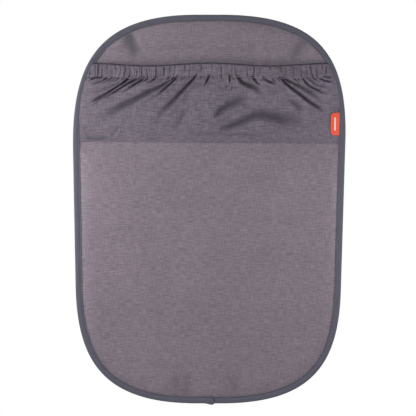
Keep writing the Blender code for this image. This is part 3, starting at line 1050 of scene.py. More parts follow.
@dataclass
class EdgeTape:
    """One folded tape round the rim, its end lapped over its start at the bottom centre."""

    # Its section
    width: float = 0.0106
    tape: float = 0.0008
    crown: float = 0.0008
    seam: float = 0.0090
    flat_shares: tuple[float, ...] = (1.0, 0.985, 0.95, 0.90, 0.865, 0.835, 0.79, 0.72, 0.63, 0.53,
                                      0.43, 0.33, 0.24, 0.17, 0.12)
    turn_points: int = 11
    groove: tuple[float, float] = (0.45, 0.0007)
    lip: tuple[float, float] = (0.25, 0.0009)
    back_crown: float = 0.45
    crown_bias: float = 0.8
    # Its lapped end
    lap: float = 0.0085
    lap_step: float = 0.0014
    lap_ramp: float = 0.003
    back_lift: float = 0.6
    bump: float = 0.0022
    bump_peak: float = 0.6
    bump_fall: float = 0.6
    bump_reach: float = 0.006
    # What it folds round besides the two panels
    pocket: tuple[float, float] = (0.426, 0.556)
    casing_height: float = 0.0225
    label: tuple[float, float] = (0.4378, 0.4744)
    label_ply: float = 0.0009
    stack_margin: float = 0.003
    stack_run: float = 0.006
    # How it wavers
    slow_waver: Ripple = Ripple(0.00022, 0.035, 1.0, 31)
    quick_waver: Ripple = Ripple(0.00012, 0.009, 1.0, 32)
    puff: Ripple = Ripple(0.35, 0.018, 1.0, 33)
    # Steps along the rim
    step: float = 0.0028
    fine_step: float = 0.0008
    fine_ends: tuple[float, float] = (0.012, 0.016)

    def stack(self, x: Array, height: Array) -> Array:
        """Depth of the front of all that the tape folds round.

        Args:
            x: To the right.
            height: Above the bottom edge.

        Returns:
            The depth, in metres.
        """
        low, high = self.pocket
        zones = [(low, high, PLY_PITCH, 1.0), (high - self.casing_height, high, PLY_PITCH, 1.0),
                 (*self.label, self.label_ply, x > 0)]
        depth = FACE_FRONT + 0 * height
        for bottom, top, ply, here in zones:
            outside = np.maximum(bottom - self.stack_margin - height,
                                 height - top - self.stack_margin)
            depth = depth + ply * here * np.clip(1 - outside / self.stack_run, 0.0, 1.0)
        return depth

    def section(self) -> tuple[Array, Array, Array]:
        """The tape's outer line across one section, from the front edge round to the back edge.

        Returns:
            The inset from the rim, the share of the crown, and where it is on the fold: 1 at
            the front, -1 at the back, and the cosine of the turn between them.
        """
        flat = np.array(self.flat_shares) * self.width
        groove_depth, groove_width = self.groove
        lip_rise, lip_width = self.lip
        groove = -groove_depth * bell(flat - self.seam, groove_width)
        lip = lip_rise * bell(flat - self.width, lip_width)
        across = np.clip(flat / self.seam, 0, 1) ** self.crown_bias
        crown = np.sin(across * math.pi) + groove + lip
        turn = np.linspace(0.0, math.pi, self.turn_points + 2)[1:-1]
        fold_inset = self.flat_shares[-1] * self.width * (1 - np.sin(turn))
        inset = np.concatenate((flat, fold_inset, flat[::-1]))
        crowns = np.concatenate((crown, crown[-1] * np.cos(turn) ** 2,
                                 self.back_crown * crown[::-1]))
        side = np.concatenate((np.ones(len(flat)), np.cos(turn), -np.ones(len(flat))))
        return inset, crowns, side

    def surface(self, run: Array) -> Array:
        """The tape's outer face at distances along the rim.

        Args:
            run: Distances from the bottom centre, to the right.

        Returns:
            Points as (section points, distances, 3).
        """
        total = OUTLINE.loop()[2][-1]
        rim, normal = OUTLINE.along(run)
        inset, crown, side = (values[:, None] for values in self.section())
        waver = self.slow_waver.at(run) + self.quick_waver.at(run)
        front = self.stack(rim[:, 0], rim[:, 1]) + GAP + self.tape
        back = -(GAP + self.tape)
        lift = self.lap_step * ease(run, total - self.lap - self.lap_ramp,
                                    total - self.lap)
        front, back = front + lift, back - self.back_lift * lift
        middle, half = (front + back) / 2, (front - back) / 2
        puff = self.crown * (1 + self.puff.at(run))
        depth = middle + side * (half + puff * crown)
        peak = total + self.bump_peak * self.lap
        fall = self.bump_fall * ease(run, peak, total + self.lap)
        bump = ease(run, total - self.lap, peak) * (1 - fall)
        inset = inset * (1 + waver / self.width * 2)
        inset = inset - self.bump * bump * np.clip(1 - inset / self.bump_reach, 0, 1)
        x = rim[:, 0] + inset * normal[:, 0]
        height = rim[:, 1] + inset * normal[:, 1]
        return place(x, height, depth)

    def build(self) -> Piece:
        """Make the tape and dress it.

        Returns:
            The tape.
        """
        total = OUTLINE.loop()[2][-1]
        first, last = self.fine_ends
        even = np.linspace(first, total - last, round(total / self.step))
        start = np.arange(-self.lap, first, self.fine_step)
        end = np.arange(total - last, total + self.lap + self.fine_step / 4, self.fine_step)
        run = np.concatenate((start, even[1:-1], end))
        outer = self.surface(run)
        inner = outer - grid_normals(outer) * self.tape
        middle = outer[:, outer.shape[1] // 2]
        across = run_along(middle)
        uv = np.stack(np.broadcast_arrays(run, across[:, None]), -1)
        piece = dress(shell("edge_tape", outer, inner, uv), TAPE_FINISH, "binding_tape",
                      "edge_binding")
        return piece


# Pocket


@dataclass(frozen=True)
class Fold:
    """A fold in the pocket's cloth, drawn along a line from the casing outwards, with painted shade
    along it.

    The line's points are (x, height) in millimetres, the widths and the depth too.
    """

    line: tuple[tuple[float, float], ...]
    depth: float
    width: float
    end_width: float
    hold: float = 0.3
    ridge: float = 0.45
    shade: float = 0.4
    # How its line is smoothed
    path_points: int = 33
    smoothing: int = 4
    # Its groove and the ridge beside it, in shares and in widths of the fold
    sharp_share: float = 0.65
    fan: float = 2.3
    ridge_place: float = 1.9
    ridge_width: float = 1.5
    # Painted shade along it, with the width of its dark line in metres
    shade_line_width: float = 0.0011
    shade_line_slope: float = 3.2
    shade_line_gain: float = 1.4
    shade_share: float = 0.65
    shade_width: float = 1.2
    shade_depth: float = 3.0
    # How it starts, and how many widths from its line it reaches
    start_share: float = 0.6
    start_run: float = 0.1
    reach: float = 6.0

    def path(self) -> tuple[Array, Array]:
        """The line as a smooth run of points.

        Returns:
            The points, and the share of the run at each.
        """
        points = mm(*np.ravel(self.line)).reshape(-1, 2)
        run = run_along(points)
        t = np.linspace(0.0, run[-1], self.path_points)
        line = at_run(t, run, points)
        for _ in range(self.smoothing):
            line[1:-1] = (line[:-2] + 2 * line[1:-1] + line[2:]) / 4
        return line, t / run[-1]

    def lift(self, x: Array, height: Array) -> tuple[Array, Array]:
        """How far the cloth stands out because of this fold.

        Args:
            x: To the right.
            height: Above the bottom edge.

        Returns:
            The lift in metres, and the painted shade along the fold, from 0 to 1.
        """
        line, shares = self.path()
        out, painted_shade = np.zeros(x.shape), np.zeros(x.shape)
        reach = self.reach * max(self.width, self.end_width) / 1000
        low, high = line.min(0) - reach, line.max(0) + reach
        near = (x > low[0]) & (x < high[0]) & (height > low[1]) & (height < high[1])
        points = np.stack((x[near], height[near]), -1)
        a, b = line[:-1], line[1:]
        heading = b - a
        along = ((points[:, None] - a) * heading).sum(-1) / (heading**2).sum(-1)
        along = np.clip(along, 0.0, 1.0)
        off = points[:, None] - (a + along[..., None] * heading)
        distance = np.linalg.norm(off, axis=-1)
        best = distance.argmin(1)
        pick = np.arange(len(points)), best
        share = shares[best] + along[pick] * (shares[1] - shares[0])
        cross = heading[best, 0] * off[pick][:, 1] - heading[best, 1] * off[pick][:, 0]
        upper = np.where(cross * np.sign(heading[best, 0]) > 0, 1.0, -1.0)
        away = distance[pick] * upper
        width = (self.width + (self.end_width - self.width) * share) / 1000
        rise = self.start_share + (1 - self.start_share) * ease(share, 0.0, self.start_run)
        fade = rise * (1 - ease(share, self.hold, 1.0))
        fade = fade * bell(distance[pick] * (share <= 0), width)
        groove = (-self.sharp_share * bell(away, width)
                  - (1 - self.sharp_share) * bell(away / self.fan, width))
        ridge = self.ridge * bell(away + self.ridge_place * width, self.ridge_width * width)
        out[near] = self.depth / 1000 * fade * (groove + ridge)
        # Painted shade: a thin dark line in a steep fold's groove and a broader darkening round it
        sharp = np.clip(self.depth / (1000 * width) / self.shade_line_slope, 0.0, 1.0)
        pinched = sharp**self.shade_line_gain * bell(away, self.shade_line_width)
        dark = self.shade_share * self.shade * min(1.0, self.depth / self.shade_depth)
        painted_shade[near] = fade * (pinched + dark * bell(away / self.shade_width, width))
        return out, painted_shade


MAIN_FOLDS = (
    # left half, from the left end inwards
    Fold(((-170.9, 533.9), (-195.4, 529.1)), 2.2, 1.0, 1.2, 0.8),
    Fold(((-164.7, 531.4), (-177.9, 525.2), (-194.2, 519.2)), 2.2, 1.0, 1.3, 0.6),
    Fold(((-145.2, 523.3), (-165.7, 514.4), (-200.5, 504.1)), 1.8, 1.4, 2.8, 0.4),
    Fold(((-127.9, 535.5), (-133.1, 527.3), (-149.4, 517.1), (-163.7, 507.9), (-182.1, 496.6),
          (-198.0, 490.1)), 4.6, 1.2, 1.5, 0.72),
    Fold(((-111.6, 531.4), (-135.1, 520.2), (-153.4, 507.9), (-173.8, 498.8), (-186.1, 488.5),
          (-204.0, 478.0)), 3.0, 1.2, 2.4, 0.6),
    Fold(((-102.4, 535.5), (-108.5, 527.3), (-122.9, 519.2), (-133.0, 512.0), (-145.2, 503.8)),
         3.8, 1.1, 1.8, 0.4),
    Fold(((-63.6, 526.2), (-78.0, 517.1), (-98.4, 507.9), (-118.8, 496.6), (-137.1, 487.5),
          (-159.6, 475.2), (-186.0, 459.0)), 3.6, 1.8, 6.5, 0.6, shade=1.0),
    Fold(((-48.4, 536.5), (-52.4, 531.4), (-61.6, 522.6), (-71.7, 513.0), (-79.6, 506.3),
          (-92.0, 496.0)), 4.4, 1.2, 2.6, 0.45),
    Fold(((-17.6, 538.5), (-26.8, 526.7), (-35.0, 518.0), (-43.1, 509.5), (-53.4, 497.6),
          (-61.6, 489.1), (-71.7, 479.3), (-82.0, 466.1), (-92.0, 448.0)), 4.0, 1.2, 5.5, 0.5,
         shade=0.7),
    Fold(((-61.6, 534.4), (-69.8, 525.2)), 1.8, 1.0, 1.3, 0.3),
    Fold(((-82.0, 533.4), (-94.3, 525.2), (-107.5, 519.8)), 2.0, 1.1, 1.6, 0.4),
    Fold(((1.3, 535.9), (-3.6, 525.1), (-8.0, 515.3)), 2.8, 1.0, 1.5, 0.5),
    Fold(((-147.3, 449.1), (-161.0, 430.0)), 1.2, 1.8, 2.4, 0.5, shade=0.0),
    # right half, from the middle outwards
    Fold(((32.5, 535.9), (33.2, 521.6)), 2.6, 0.9, 1.2, 0.6),
    Fold(((38.2, 517.5), (35.3, 506.2)), 1.2, 1.0, 1.2),
    Fold(((30.1, 518.5), (26.0, 511.3)), 1.2, 1.0, 1.2),
    Fold(((46.4, 536.8), (48.5, 527.7), (55.7, 521.6), (72.0, 516.4), (82.2, 508.2),
          (98.0, 502.0)), 4.4, 1.7, 4.2, 0.4, shade=0.9),
    Fold(((68.0, 533.9), (76.1, 523.6), (88.3, 516.5)), 3.2, 1.0, 1.5, 0.4),
    Fold(((86.3, 533.9), (94.4, 525.7), (110.8, 519.5)), 3.4, 1.1, 1.5, 0.5),
    Fold(((114.8, 531.8), (123.0, 522.6), (137.3, 511.3), (147.5, 504.1), (159.8, 494.0),
          (174.1, 484.8), (191.3, 474.5)), 5.2, 1.3, 2.2, 0.72),
    Fold(((114.8, 533.8), (131.2, 524.6), (147.5, 517.4), (163.9, 508.2), (178.2, 498.1),
          (192.5, 490.9)), 3.2, 1.4, 3.6, 0.5, shade=0.7),
    Fold(((152.6, 529.7), (159.8, 519.5), (172.0, 513.5), (182.3, 508.2), (199.6, 505.8)),
         3.2, 1.2, 1.8, 0.5),
    Fold(((163.9, 528.7), (174.1, 520.5), (188.4, 518.0), (204.2, 516.0)), 1.9, 1.8, 2.8, 0.5),
    Fold(((180.2, 530.8), (188.4, 526.7), (203.6, 524.2)), 2.6, 1.0, 1.4, 0.6),
    Fold(((186.4, 533.9), (202.6, 531.6)), 2.0, 1.0, 1.2, 0.6),
)

# Broad soft folds; much of their darkness is painted shade, set by each one's last number
SOFT_FOLDS = (
    Fold(((10.8, 468.5), (18.9, 477.7), (31.1, 485.9), (43.4, 491.9), (55.6, 495.0),
          (69.9, 490.9)), 3.4, 4.2, 8.0, 0.6, 0.3, 1.1),
    Fold(((20.9, 448.1), (35.2, 453.2), (51.5, 458.2), (65.7, 466.5), (80.0, 472.6),
          (92.4, 471.6), (106.6, 467.5), (118.9, 464.2), (140.0, 461.0), (172.0, 460.0)),
         3.8, 4.4, 9.5, 0.6, 0.3, 1.1),
    Fold(((133.0, 494.0), (144.0, 487.0), (156.0, 473.0)), 2.2, 3.6, 5.0, 0.5, 0.2, 1.0),
    Fold(((-34.0, 480.0), (-45.3, 465.0), (-58.0, 438.0)), 1.8, 5.0, 8.0, 0.5, 0.0, 0.8),
    Fold(((-202.0, 433.5), (-160.0, 432.0)), 2.2, 3.4, 3.4, 0.5, 0.2, 0.8),
    Fold(((-30.0, 441.0), (60.0, 438.0), (110.0, 439.0)), 1.4, 2.4, 3.0, 0.5, 0.2, 0.5),
)


@dataclass(frozen=True)
class FoldKind:
    """The ranges that short folds under the casing are drawn from, in millimetres."""

    lengths: tuple[float, float] = (6, 24)
    reach: float = 90
    slope: float = 1.35
    slope_reach: float = 45
    stray: float = 0.15
    half_mouth: float = 205
    overlap: float = 0.5
    middle_share: float = 0.4
    depths: tuple[float, float] = (0.7, 1.6)
    width: float = 0.9
    end_widths: tuple[float, float] = (1.2, 1.9)
    hold: float = 0.2


SMALL_FOLDS = FoldKind()


@dataclass(frozen=True)
class PleatKind:
    """One kind of gather: the ranges that its steps, depths and widths are drawn from.

    Some are whole: they run from above the mouth to below the seam. The others start and end
    within the casing. Starts and lengths are shares of the casing's height.
    """

    steps: tuple[float, float]
    depths: tuple[float, float]
    widths: tuple[float, float]
    whole: float
    past_ends: tuple[float, float] = (-0.3, 1.4)
    starts: tuple[float, float] = (0.05, 0.5)
    lengths: tuple[float, float] = (0.45, 0.9)


STRONG_PLEATS = PleatKind((0.0080, 0.0190), (0.45, 1.0), (0.0010, 0.0016), 0.6)
FINE_PLEATS = PleatKind((0.0026, 0.0060), (0.12, 0.40), (0.0006, 0.0010), 0.2)


@dataclass(frozen=True)
class Pleat:
    """One gather of the casing: a pinched line down it, which wavers a little."""

    place: float
    depth: float
    width: float
    lean: float
    start: float
    end: float
    waver: Ripple = Ripple(0.0010, 0.45, 0.01, 43)
    ramp: float = 0.12

    def pull(self, x: Array, level: Array) -> Array:
        """How deep the cloth is pinched here, as a share of the deepest gather.

        Args:
            x: To the right.
            level: Distance below the mouth, as a share of the casing's height.

        Returns:
            The depth, from 0 to 1.
        """
        line = self.place + self.lean * (level - 0.5)
        line = line + self.waver.at(level, self.place)
        shown = ease(level, self.start - self.ramp, self.start + self.ramp)
        shown = shown * (1 - ease(level, self.end - self.ramp, self.end + self.ramp))
        return self.depth * shown * bell(x - line, self.width)


@dataclass
class Pocket:
    """The pocket: its mouth, its elastic casing and the cloth that hangs below it."""

    # Its heights, and how far it reaches to the sides
    mouth: float = 0.556
    dip: float = 0.0045
    casing: float = 0.0225
    bottom: float = 0.426
    tilt: float = 0.0016
    inset: float = 0.0050
    half_mouth: float = 0.203
    # How far it stands off the face cloth
    standoff_depth: float = 0.0085
    standoff_bias: float = 0.8
    standoff_fall: float = 1.1
    belly: float = 0.0085
    belly_bias: float = 0.85
    # Points of its meshes, and how they crowd
    casing_columns: int = 900
    casing_rows: tuple[int, int, int] = (6, 7, 25)
    columns: int = 540
    body_rows: int = 88
    elastic_points: tuple[int, int] = (160, 9)
    row_bias: float = 0.9
    row_crowding: float = 0.2
    # Flat sizes of the cut cloth
    casing_flat: tuple[float, float] = (0.500, 0.046)
    cloth_flat: tuple[float, float] = (0.440, 0.108)
    # The elastic
    elastic: float = 0.0010
    elastic_end: float = 0.95
    elastic_inset: float = 0.0113
    # How the gathers are drawn
    pleat_seed: int = 17
    first_pleat: tuple[float, float] = (0.001, 0.004)
    middle_step: float = 1.2
    step_loss: float = 0.75
    step_reach: float = 0.2
    lean: float = 0.0028
    outward_lean: float = 0.0014
    lean_reach: float = 0.08
    gather_depth: float = 0.0022
    crest: Ripple = Ripple(0.2, 0.012, 0.03, 44)
    # The casing, from its folded lip to its seam
    casing_ply: float = 0.00040
    lip: float = 0.0015
    top_share: float = 0.45
    top_run: float = 0.005
    scallop: float = 0.0009
    bulge: float = 0.0005
    flat_ends: float = 0.04
    smooth_ends: float = 0.02
    flare: float = 0.003
    seam_pinch: float = 0.4
    blend: tuple[float, float] = (0.006, 0.0008)
    blend_lift: float = 0.0001
    # Gathers, swelling and folds of the cloth below
    overlap: float = 0.0003
    cloth_ends: float = 0.03
    crest_share: float = 0.8
    cloth_gather: tuple[float, float] = (0.00154, 0.007)
    seam_swell: tuple[float, float] = (0.0005, 0.006)
    slow_swell: tuple[float, float] = (0.0009, 0.020)
    slow_start: float = 0.005
    fan_slope: float = 1.45
    fan_reach: float = 0.045
    fold_seed: int = 23
    fold_depth: float = 1.55
    fold_floor: float = 0.15
    held: float = 0.05
    slack: Ripple = Ripple(0.0005, 0.030, 0.018, 51)
    rumple: Ripple = Ripple(0.00016, 0.008, 0.006, 52)
    # Its lower edge
    roll: float = 0.0012
    least: float = 0.0002
    hem: float = 0.0003
    hem_bias: float = 0.2
    # Painted shade on the mouth's edge, the gathers and the folds
    rim_run: tuple[float, float] = (0.0014, 0.0032)
    rim_side: float = 0.1
    rim_shade: float = 0.95
    gather_shade: float = 0.55
    seam_shade: tuple[float, float] = (0.5, 0.004)
    deepest_shade: float = 0.8

    def mouth_height(self, share: Array) -> Array:
        """Height of the mouth, which dips between its ends and its middle."""
        return self.mouth - self.dip * np.sin(math.pi * share) ** 2

    def standoff(self, share: Array) -> Array:
        """How far the mouth stands off the face cloth."""
        return self.standoff_depth * np.maximum(0.0, 1 - share * share) ** self.standoff_bias

    @functools.cached_property
    def pleats(self) -> tuple[Pleat, ...]:
        """The casing's gathers: strong ones right down it, and fine ones between them.

        Returns:
            The gathers, of each kind from the left end to the right end.
        """
        rng = np.random.default_rng(self.pleat_seed)
        made = []
        for kind in (STRONG_PLEATS, FINE_PLEATS):
            above, below = kind.past_ends
            x = -self.half_mouth + rng.uniform(*self.first_pleat)
            while x < self.half_mouth:
                start = above if rng.random() < kind.whole else rng.uniform(*kind.starts)
                end = below if rng.random() < kind.whole else start + rng.uniform(*kind.lengths)
                lean = rng.uniform(-self.lean, self.lean)
                lean += self.outward_lean * math.tanh(x / self.lean_reach)
                depth, width = rng.uniform(*kind.depths), rng.uniform(*kind.widths)
                made.append(Pleat(x, depth, width, lean, start, end))
                crowding = self.middle_step - self.step_loss * abs(x) / self.step_reach
                x += rng.uniform(*kind.steps) * crowding
        return tuple(made)

    def pull(self, x: Array, level: Array) -> Array:
        """How deep the gathers pinch the casing, from 0 on a crest to 1 in the deepest."""
        return np.minimum(1.0, sum(pleat.pull(x, level) for pleat in self.pleats))

    def casing_surface(self, share: Array) -> tuple[Array, Array]:
        """The casing's outer face, from the hem's end behind, over the mouth, to the seam.

        Args:
            share: Places across the mouth, from -1 to 1.

        Returns:
            Points as (rows, places, 3), and the painted shade on them.
        """
        back_rows, turn_rows, front_rows = self.casing_rows
        back = np.linspace(self.casing, self.lip, back_rows)
        turn = np.linspace(0.0, math.pi, turn_rows + 2)[1:-1]
        down = ease(np.linspace(0.0, 1.0, front_rows)) ** self.row_bias
        front = self.lip + (self.casing - self.lip) * down
        level = np.concatenate((back, self.lip * (1 - np.sin(turn)), front))[:, None]
        side = np.concatenate((0 * back, (1 - np.cos(turn)) / 2, 0 * front + 1))[:, None]
        inwards = 1 - np.abs(share)
        cavity = PLY_PITCH + (self.elastic + GAP) * np.clip(inwards / self.flat_ends, 0.0, 1.0)
        pinch = ease(level, self.casing - self.flare, self.casing)
        pinch = self.seam_pinch * pinch * (side == 1)
        crowd = np.clip(inwards / self.smooth_ends, 0.0, 1.0)
        height = self.mouth_height(share) - level
        x = OUTLINE.across(share, height, self.inset)
        pull = self.pull(x, level / self.casing)
        crest = 1 - self.crest.height + self.crest.at(x, level)
        gathered = (crest - pull) * self.gather_depth * crowd
        bulge = self.bulge * np.sin(np.clip(level / self.casing, 0, 1) * math.pi) * crowd
        top = self.top_share + (1 - self.top_share) * ease(level, 0.0, self.top_run)
        out = cavity * side * (1 - pinch) + PLY_PITCH * pinch
        out = out + side**2 * (gathered * (top - 0.5 * pinch) + bulge * (1 - pinch))
        depth = POCKET_REST + self.standoff(share) + out
        # The last rows run into the cloth below, so that no step shows at the seam.
        blend_start, blend_end = self.blend
        low = (side == 1)[:, 0] & (level > self.casing - blend_start)[:, 0]
        seam = ease(level[low], self.casing - blend_start, self.casing - blend_end)
        share_grid = np.broadcast_to(share, x.shape)[low]
        below, below_painted_shade = self.body_depth(share_grid, x[low], height[low])
        depth[low] += (below + self.blend_lift - depth[low]) * seam
        height = height - self.scallop * (level < self.lip) * pull * crowd
        # Painted shade: the mouth's edge and the pinched gathers are painted darker.
        painted_shade = self.gather_shade * pull**2 * crowd * (side == 1)
        rim = 1 - ease(level, *self.rim_run)
        painted_shade = np.maximum(painted_shade, self.rim_shade * (side > self.rim_side) * rim)
        painted_shade[low] += (below_painted_shade - painted_shade[low]) * seam
        return place(x, height, depth), painted_shade

    def fan_source(self, x: Array, drop: Array) -> Array:
        """x at the casing of the gather that reaches down and outwards to this place."""
        return x - self.fan_slope * np.tanh(x / self.fan_reach) * drop

    def small_folds(self) -> list[Fold]:
        """Short folds, with painted shade along them, that run out of the casing's strong gathers.

        Returns:
            The folds, in the order of the gathers.
        """
        rng = np.random.default_rng(self.fold_seed)
        kind = SMALL_FOLDS
        folds = []
        for pleat in self.pleats:
            if pleat.depth < STRONG_PLEATS.depths[0]:
                continue
            x = 1000 * (pleat.place + pleat.lean / 2)
            full = kind.middle_share + (1 - kind.middle_share) * min(1.0, abs(x) / kind.reach)
            length = rng.uniform(*kind.lengths) * full
            slope = kind.slope * math.tanh(x / kind.slope_reach)
            slope += rng.uniform(-kind.stray, kind.stray)
            run = np.array([slope, -1.0]) / math.hypot(slope, 1.0) * length
            share = np.array(x / kind.half_mouth)
            high = 1000 * float(self.mouth_height(share) - self.casing) + kind.overlap
            depth, end_width = rng.uniform(*kind.depths), rng.uniform(*kind.end_widths)
            folds.append(Fold(((x, high), (x + run[0], high + run[1])), depth, kind.width,
                              end_width, kind.hold))
        return folds

    def body_depth(self, share: Array, x: Array, height: Array) -> tuple[Array, Array]:
        """Depth of the outer face of the cloth below the casing.

        Args:
            share: Place across the pocket, from -1 to 1.
            x: To the right.
            height: Above the bottom edge.

        Returns:
            The depth in metres, and the painted shade on the cloth.
        """
        seam = self.mouth_height(share) - self.casing
        drop = seam - height
        way = np.clip(drop / (seam - self.bottom_height(share)), 0.0, 1.0)
        room = np.maximum(0.0, 1 - share * share)
        out = (self.standoff(share) + PLY_PITCH) * (1 - way) ** self.standoff_fall
        out = out + self.belly * room * np.sin(math.pi * way ** self.belly_bias)
        source = self.fan_source(x, np.maximum(drop, 0))
        crowd = np.clip((1 - np.abs(share)) / self.cloth_ends, 0.0, 1.0)
        pull = self.pull(source, 1.0)
        gather, reach = self.cloth_gather
        out = out + (self.crest_share - pull) * gather * np.exp(-drop / reach) * crowd
        # The cloth swells out just under the seam.
        swell, reach = self.seam_swell
        out = out + crowd * swell * np.exp(-drop / reach)
        swell, reach = self.slow_swell
        out = out + crowd * swell * ease(drop, 0.0, self.slow_start) * np.exp(-drop / reach)
        edge = ease(1 - np.abs(share), 0.0, self.held) * ease(1 - way, 0.0, self.held)
        folds = (*MAIN_FOLDS, *SOFT_FOLDS, *self.small_folds())
        lifts, painted_shades = zip(*(fold.lift(x, height) for fold in folds))
        out = out + self.fold_depth * sum(lifts) * np.clip(edge + self.fold_floor, 0, 1)
        out = out + edge * (self.slack.at(x, height) + self.rumple.at(x, height))
        # The folded lower edge turns down to the face cloth.
        roll = np.clip(1 - (1 - way) * (seam - self.bottom) / self.roll, 0.0, 1.0)
        out = np.maximum(out, self.least * room) + self.hem * room**self.hem_bias * (1 - roll**2)
        # Painted shade just under the casing's seam, darkest where the gathers pull deepest
        shade, reach = self.seam_shade
        gathered = shade * pull**2 * np.exp(-drop / reach) * crowd
        painted_shade = np.maximum(sum(painted_shades), gathered)
        depth = POCKET_REST + POCKET_CLOTH / 2 + out
        return depth, np.clip(painted_shade, 0.0, self.deepest_shade)

    def bottom_height(self, share: Array) -> Array:
        """Height of the pocket's lower edge, which leans a little."""
        return self.bottom - self.tilt * share

    def body_surface(self) -> tuple[Array, Array]:
        """The outer face of the cloth below the casing.

        Returns:
            Points as (rows, columns, 3), and the painted shade on them.
        """
        share = np.linspace(-1.0, 1.0, self.columns)[None, :]
        t = np.linspace(0.0, 1.0, self.body_rows)[:, None]
        way = (1 - self.row_crowding) * t + self.row_crowding * t**2
        seam = self.mouth_height(share) - self.casing + self.overlap
        height = seam + (self.bottom_height(share) - seam) * way
        x = OUTLINE.across(share, height, self.inset)
        depth, painted_shade = self.body_depth(share, x, height)
        return place(x, height, depth), painted_shade

    def build(self) -> dict[str, Piece]:
        """Make the casing, the cloth below it and the elastic inside, and dress them.

        Returns:
            The three pieces by name.
        """
        casing, painted_shade = self.casing_surface(np.linspace(-1.0, 1.0, self.casing_columns))
        inner = casing - grid_normals(casing) * self.casing_ply
        casing_piece = dress(shell("pocket_casing", casing, inner, painted_shade=painted_shade), POCKET_FINISH,
                             "face_cloth", "pocket_panel")
        body, painted_shade = self.body_surface()
        inner = body + [0.0, POCKET_CLOTH, 0.0]
        body_piece = dress(shell("pocket_cloth", body, inner, painted_shade=painted_shade), POCKET_FINISH,
                           "face_cloth", "pocket_panel")
        return {"casing": casing_piece, "body": body_piece, "elastic": self.build_elastic()}

    def build_elastic(self) -> Piece:
        """Make the flat elastic that is held inside the casing, and dress it.

        Returns:
            The elastic.
        """
        columns, rows = self.elastic_points
        share = np.linspace(-self.elastic_end, self.elastic_end, columns)
        low = self.casing - self.flare - self.lip
        level = np.linspace(2 * self.lip, low, rows)[:, None]
        height = self.mouth_height(share) - level
        x = OUTLINE.across(share, height, self.elastic_inset)
        depth = POCKET_REST + self.standoff(share) + POCKET_CLOTH / 2 + GAP + 0 * level
        inner = place(x, height, depth)
        outer = place(x, height, depth + self.elastic)
        return dress(shell("casing_elastic", outer, inner), KNIT_FINISH, "elastic",
                     "pocket_elastic")


# Label


@dataclass
class SideLabel:
    """The folded ribbon at the right, held under the tape and lying on the pocket."""

    bottom: float = 0.4378
    height: float = 0.0366
    showing: float = 0.0138
    tuck: float = 0.006
    tape: float = 0.0106
    ribbon: float = 0.0011
    corner: float = 0.0064
    slack: float = 0.0002
    lift: float = 0.0003
    curl: float = 0.0007
    points: tuple[int, int, int] = (22, 12, 25)
    turn_start: float = 0.12

    def build(self, pocket: Pocket) -> Piece:
        """Make the label and dress it.

        Args:
            pocket: The pocket that it lies on.

        Returns:
            The label.
        """
        middle = self.bottom + self.height / 2
        rim = float(OUTLINE.side_x(OUTLINE.right, middle, 0.0))
        tip = self.tape + self.showing
        root = self.tape - self.tuck
        straight_points, corner_points, rows = self.points
        straight = np.linspace(root, tip - self.corner, straight_points)
        turn = np.linspace(self.turn_start, 1, corner_points) * math.pi / 2
        inset = np.concatenate((straight, tip - self.corner * (1 - np.sin(turn))))
        past = np.maximum(0.0, inset - (tip - self.corner))
        rounded = np.sqrt(np.maximum(0.0, self.corner**2 - past**2))
        half = self.height / 2 - self.corner + rounded
        up = np.linspace(1.0, -1.0, rows)[:, None]
        x = (rim - inset)[None, ::-1] + 0 * up
        level = middle + up * half[None, ::-1]
        share = x / OUTLINE.side_x(OUTLINE.right, level, pocket.inset)
        below = pocket.body_depth(share, x, level)[0]
        run = np.maximum(0.0, inset - self.tape + GAP)[None, ::-1] + 0 * up
        rest = FACE_FRONT + PLY_PITCH + GAP + self.slack
        curl = self.curl * (run / self.showing) ** 2 * (0.5 + 0.5 * up**2)
        depth = np.where(run > 0, np.maximum(rest, below + self.lift), rest) + curl
        inner = place(x, level, depth)
        outer = place(x, level, depth + self.ribbon)
        centre = (rim - self.tape - self.showing * 0.5, middle - OUTLINE.height / 2)
        # The one bright spot of the mat: smooth coral red with a plain pale stripe.
        finish = SatinRibbon("Coral satin ribbon", "#ff6a4c", "#fc5a3d", 0.62, 0.0, 0.00005,
                             stripe_centre=centre)
        piece = dress(shell("loop_label", outer, inner), finish, "label_ribbon", "side_label")
        return piece


# Straps


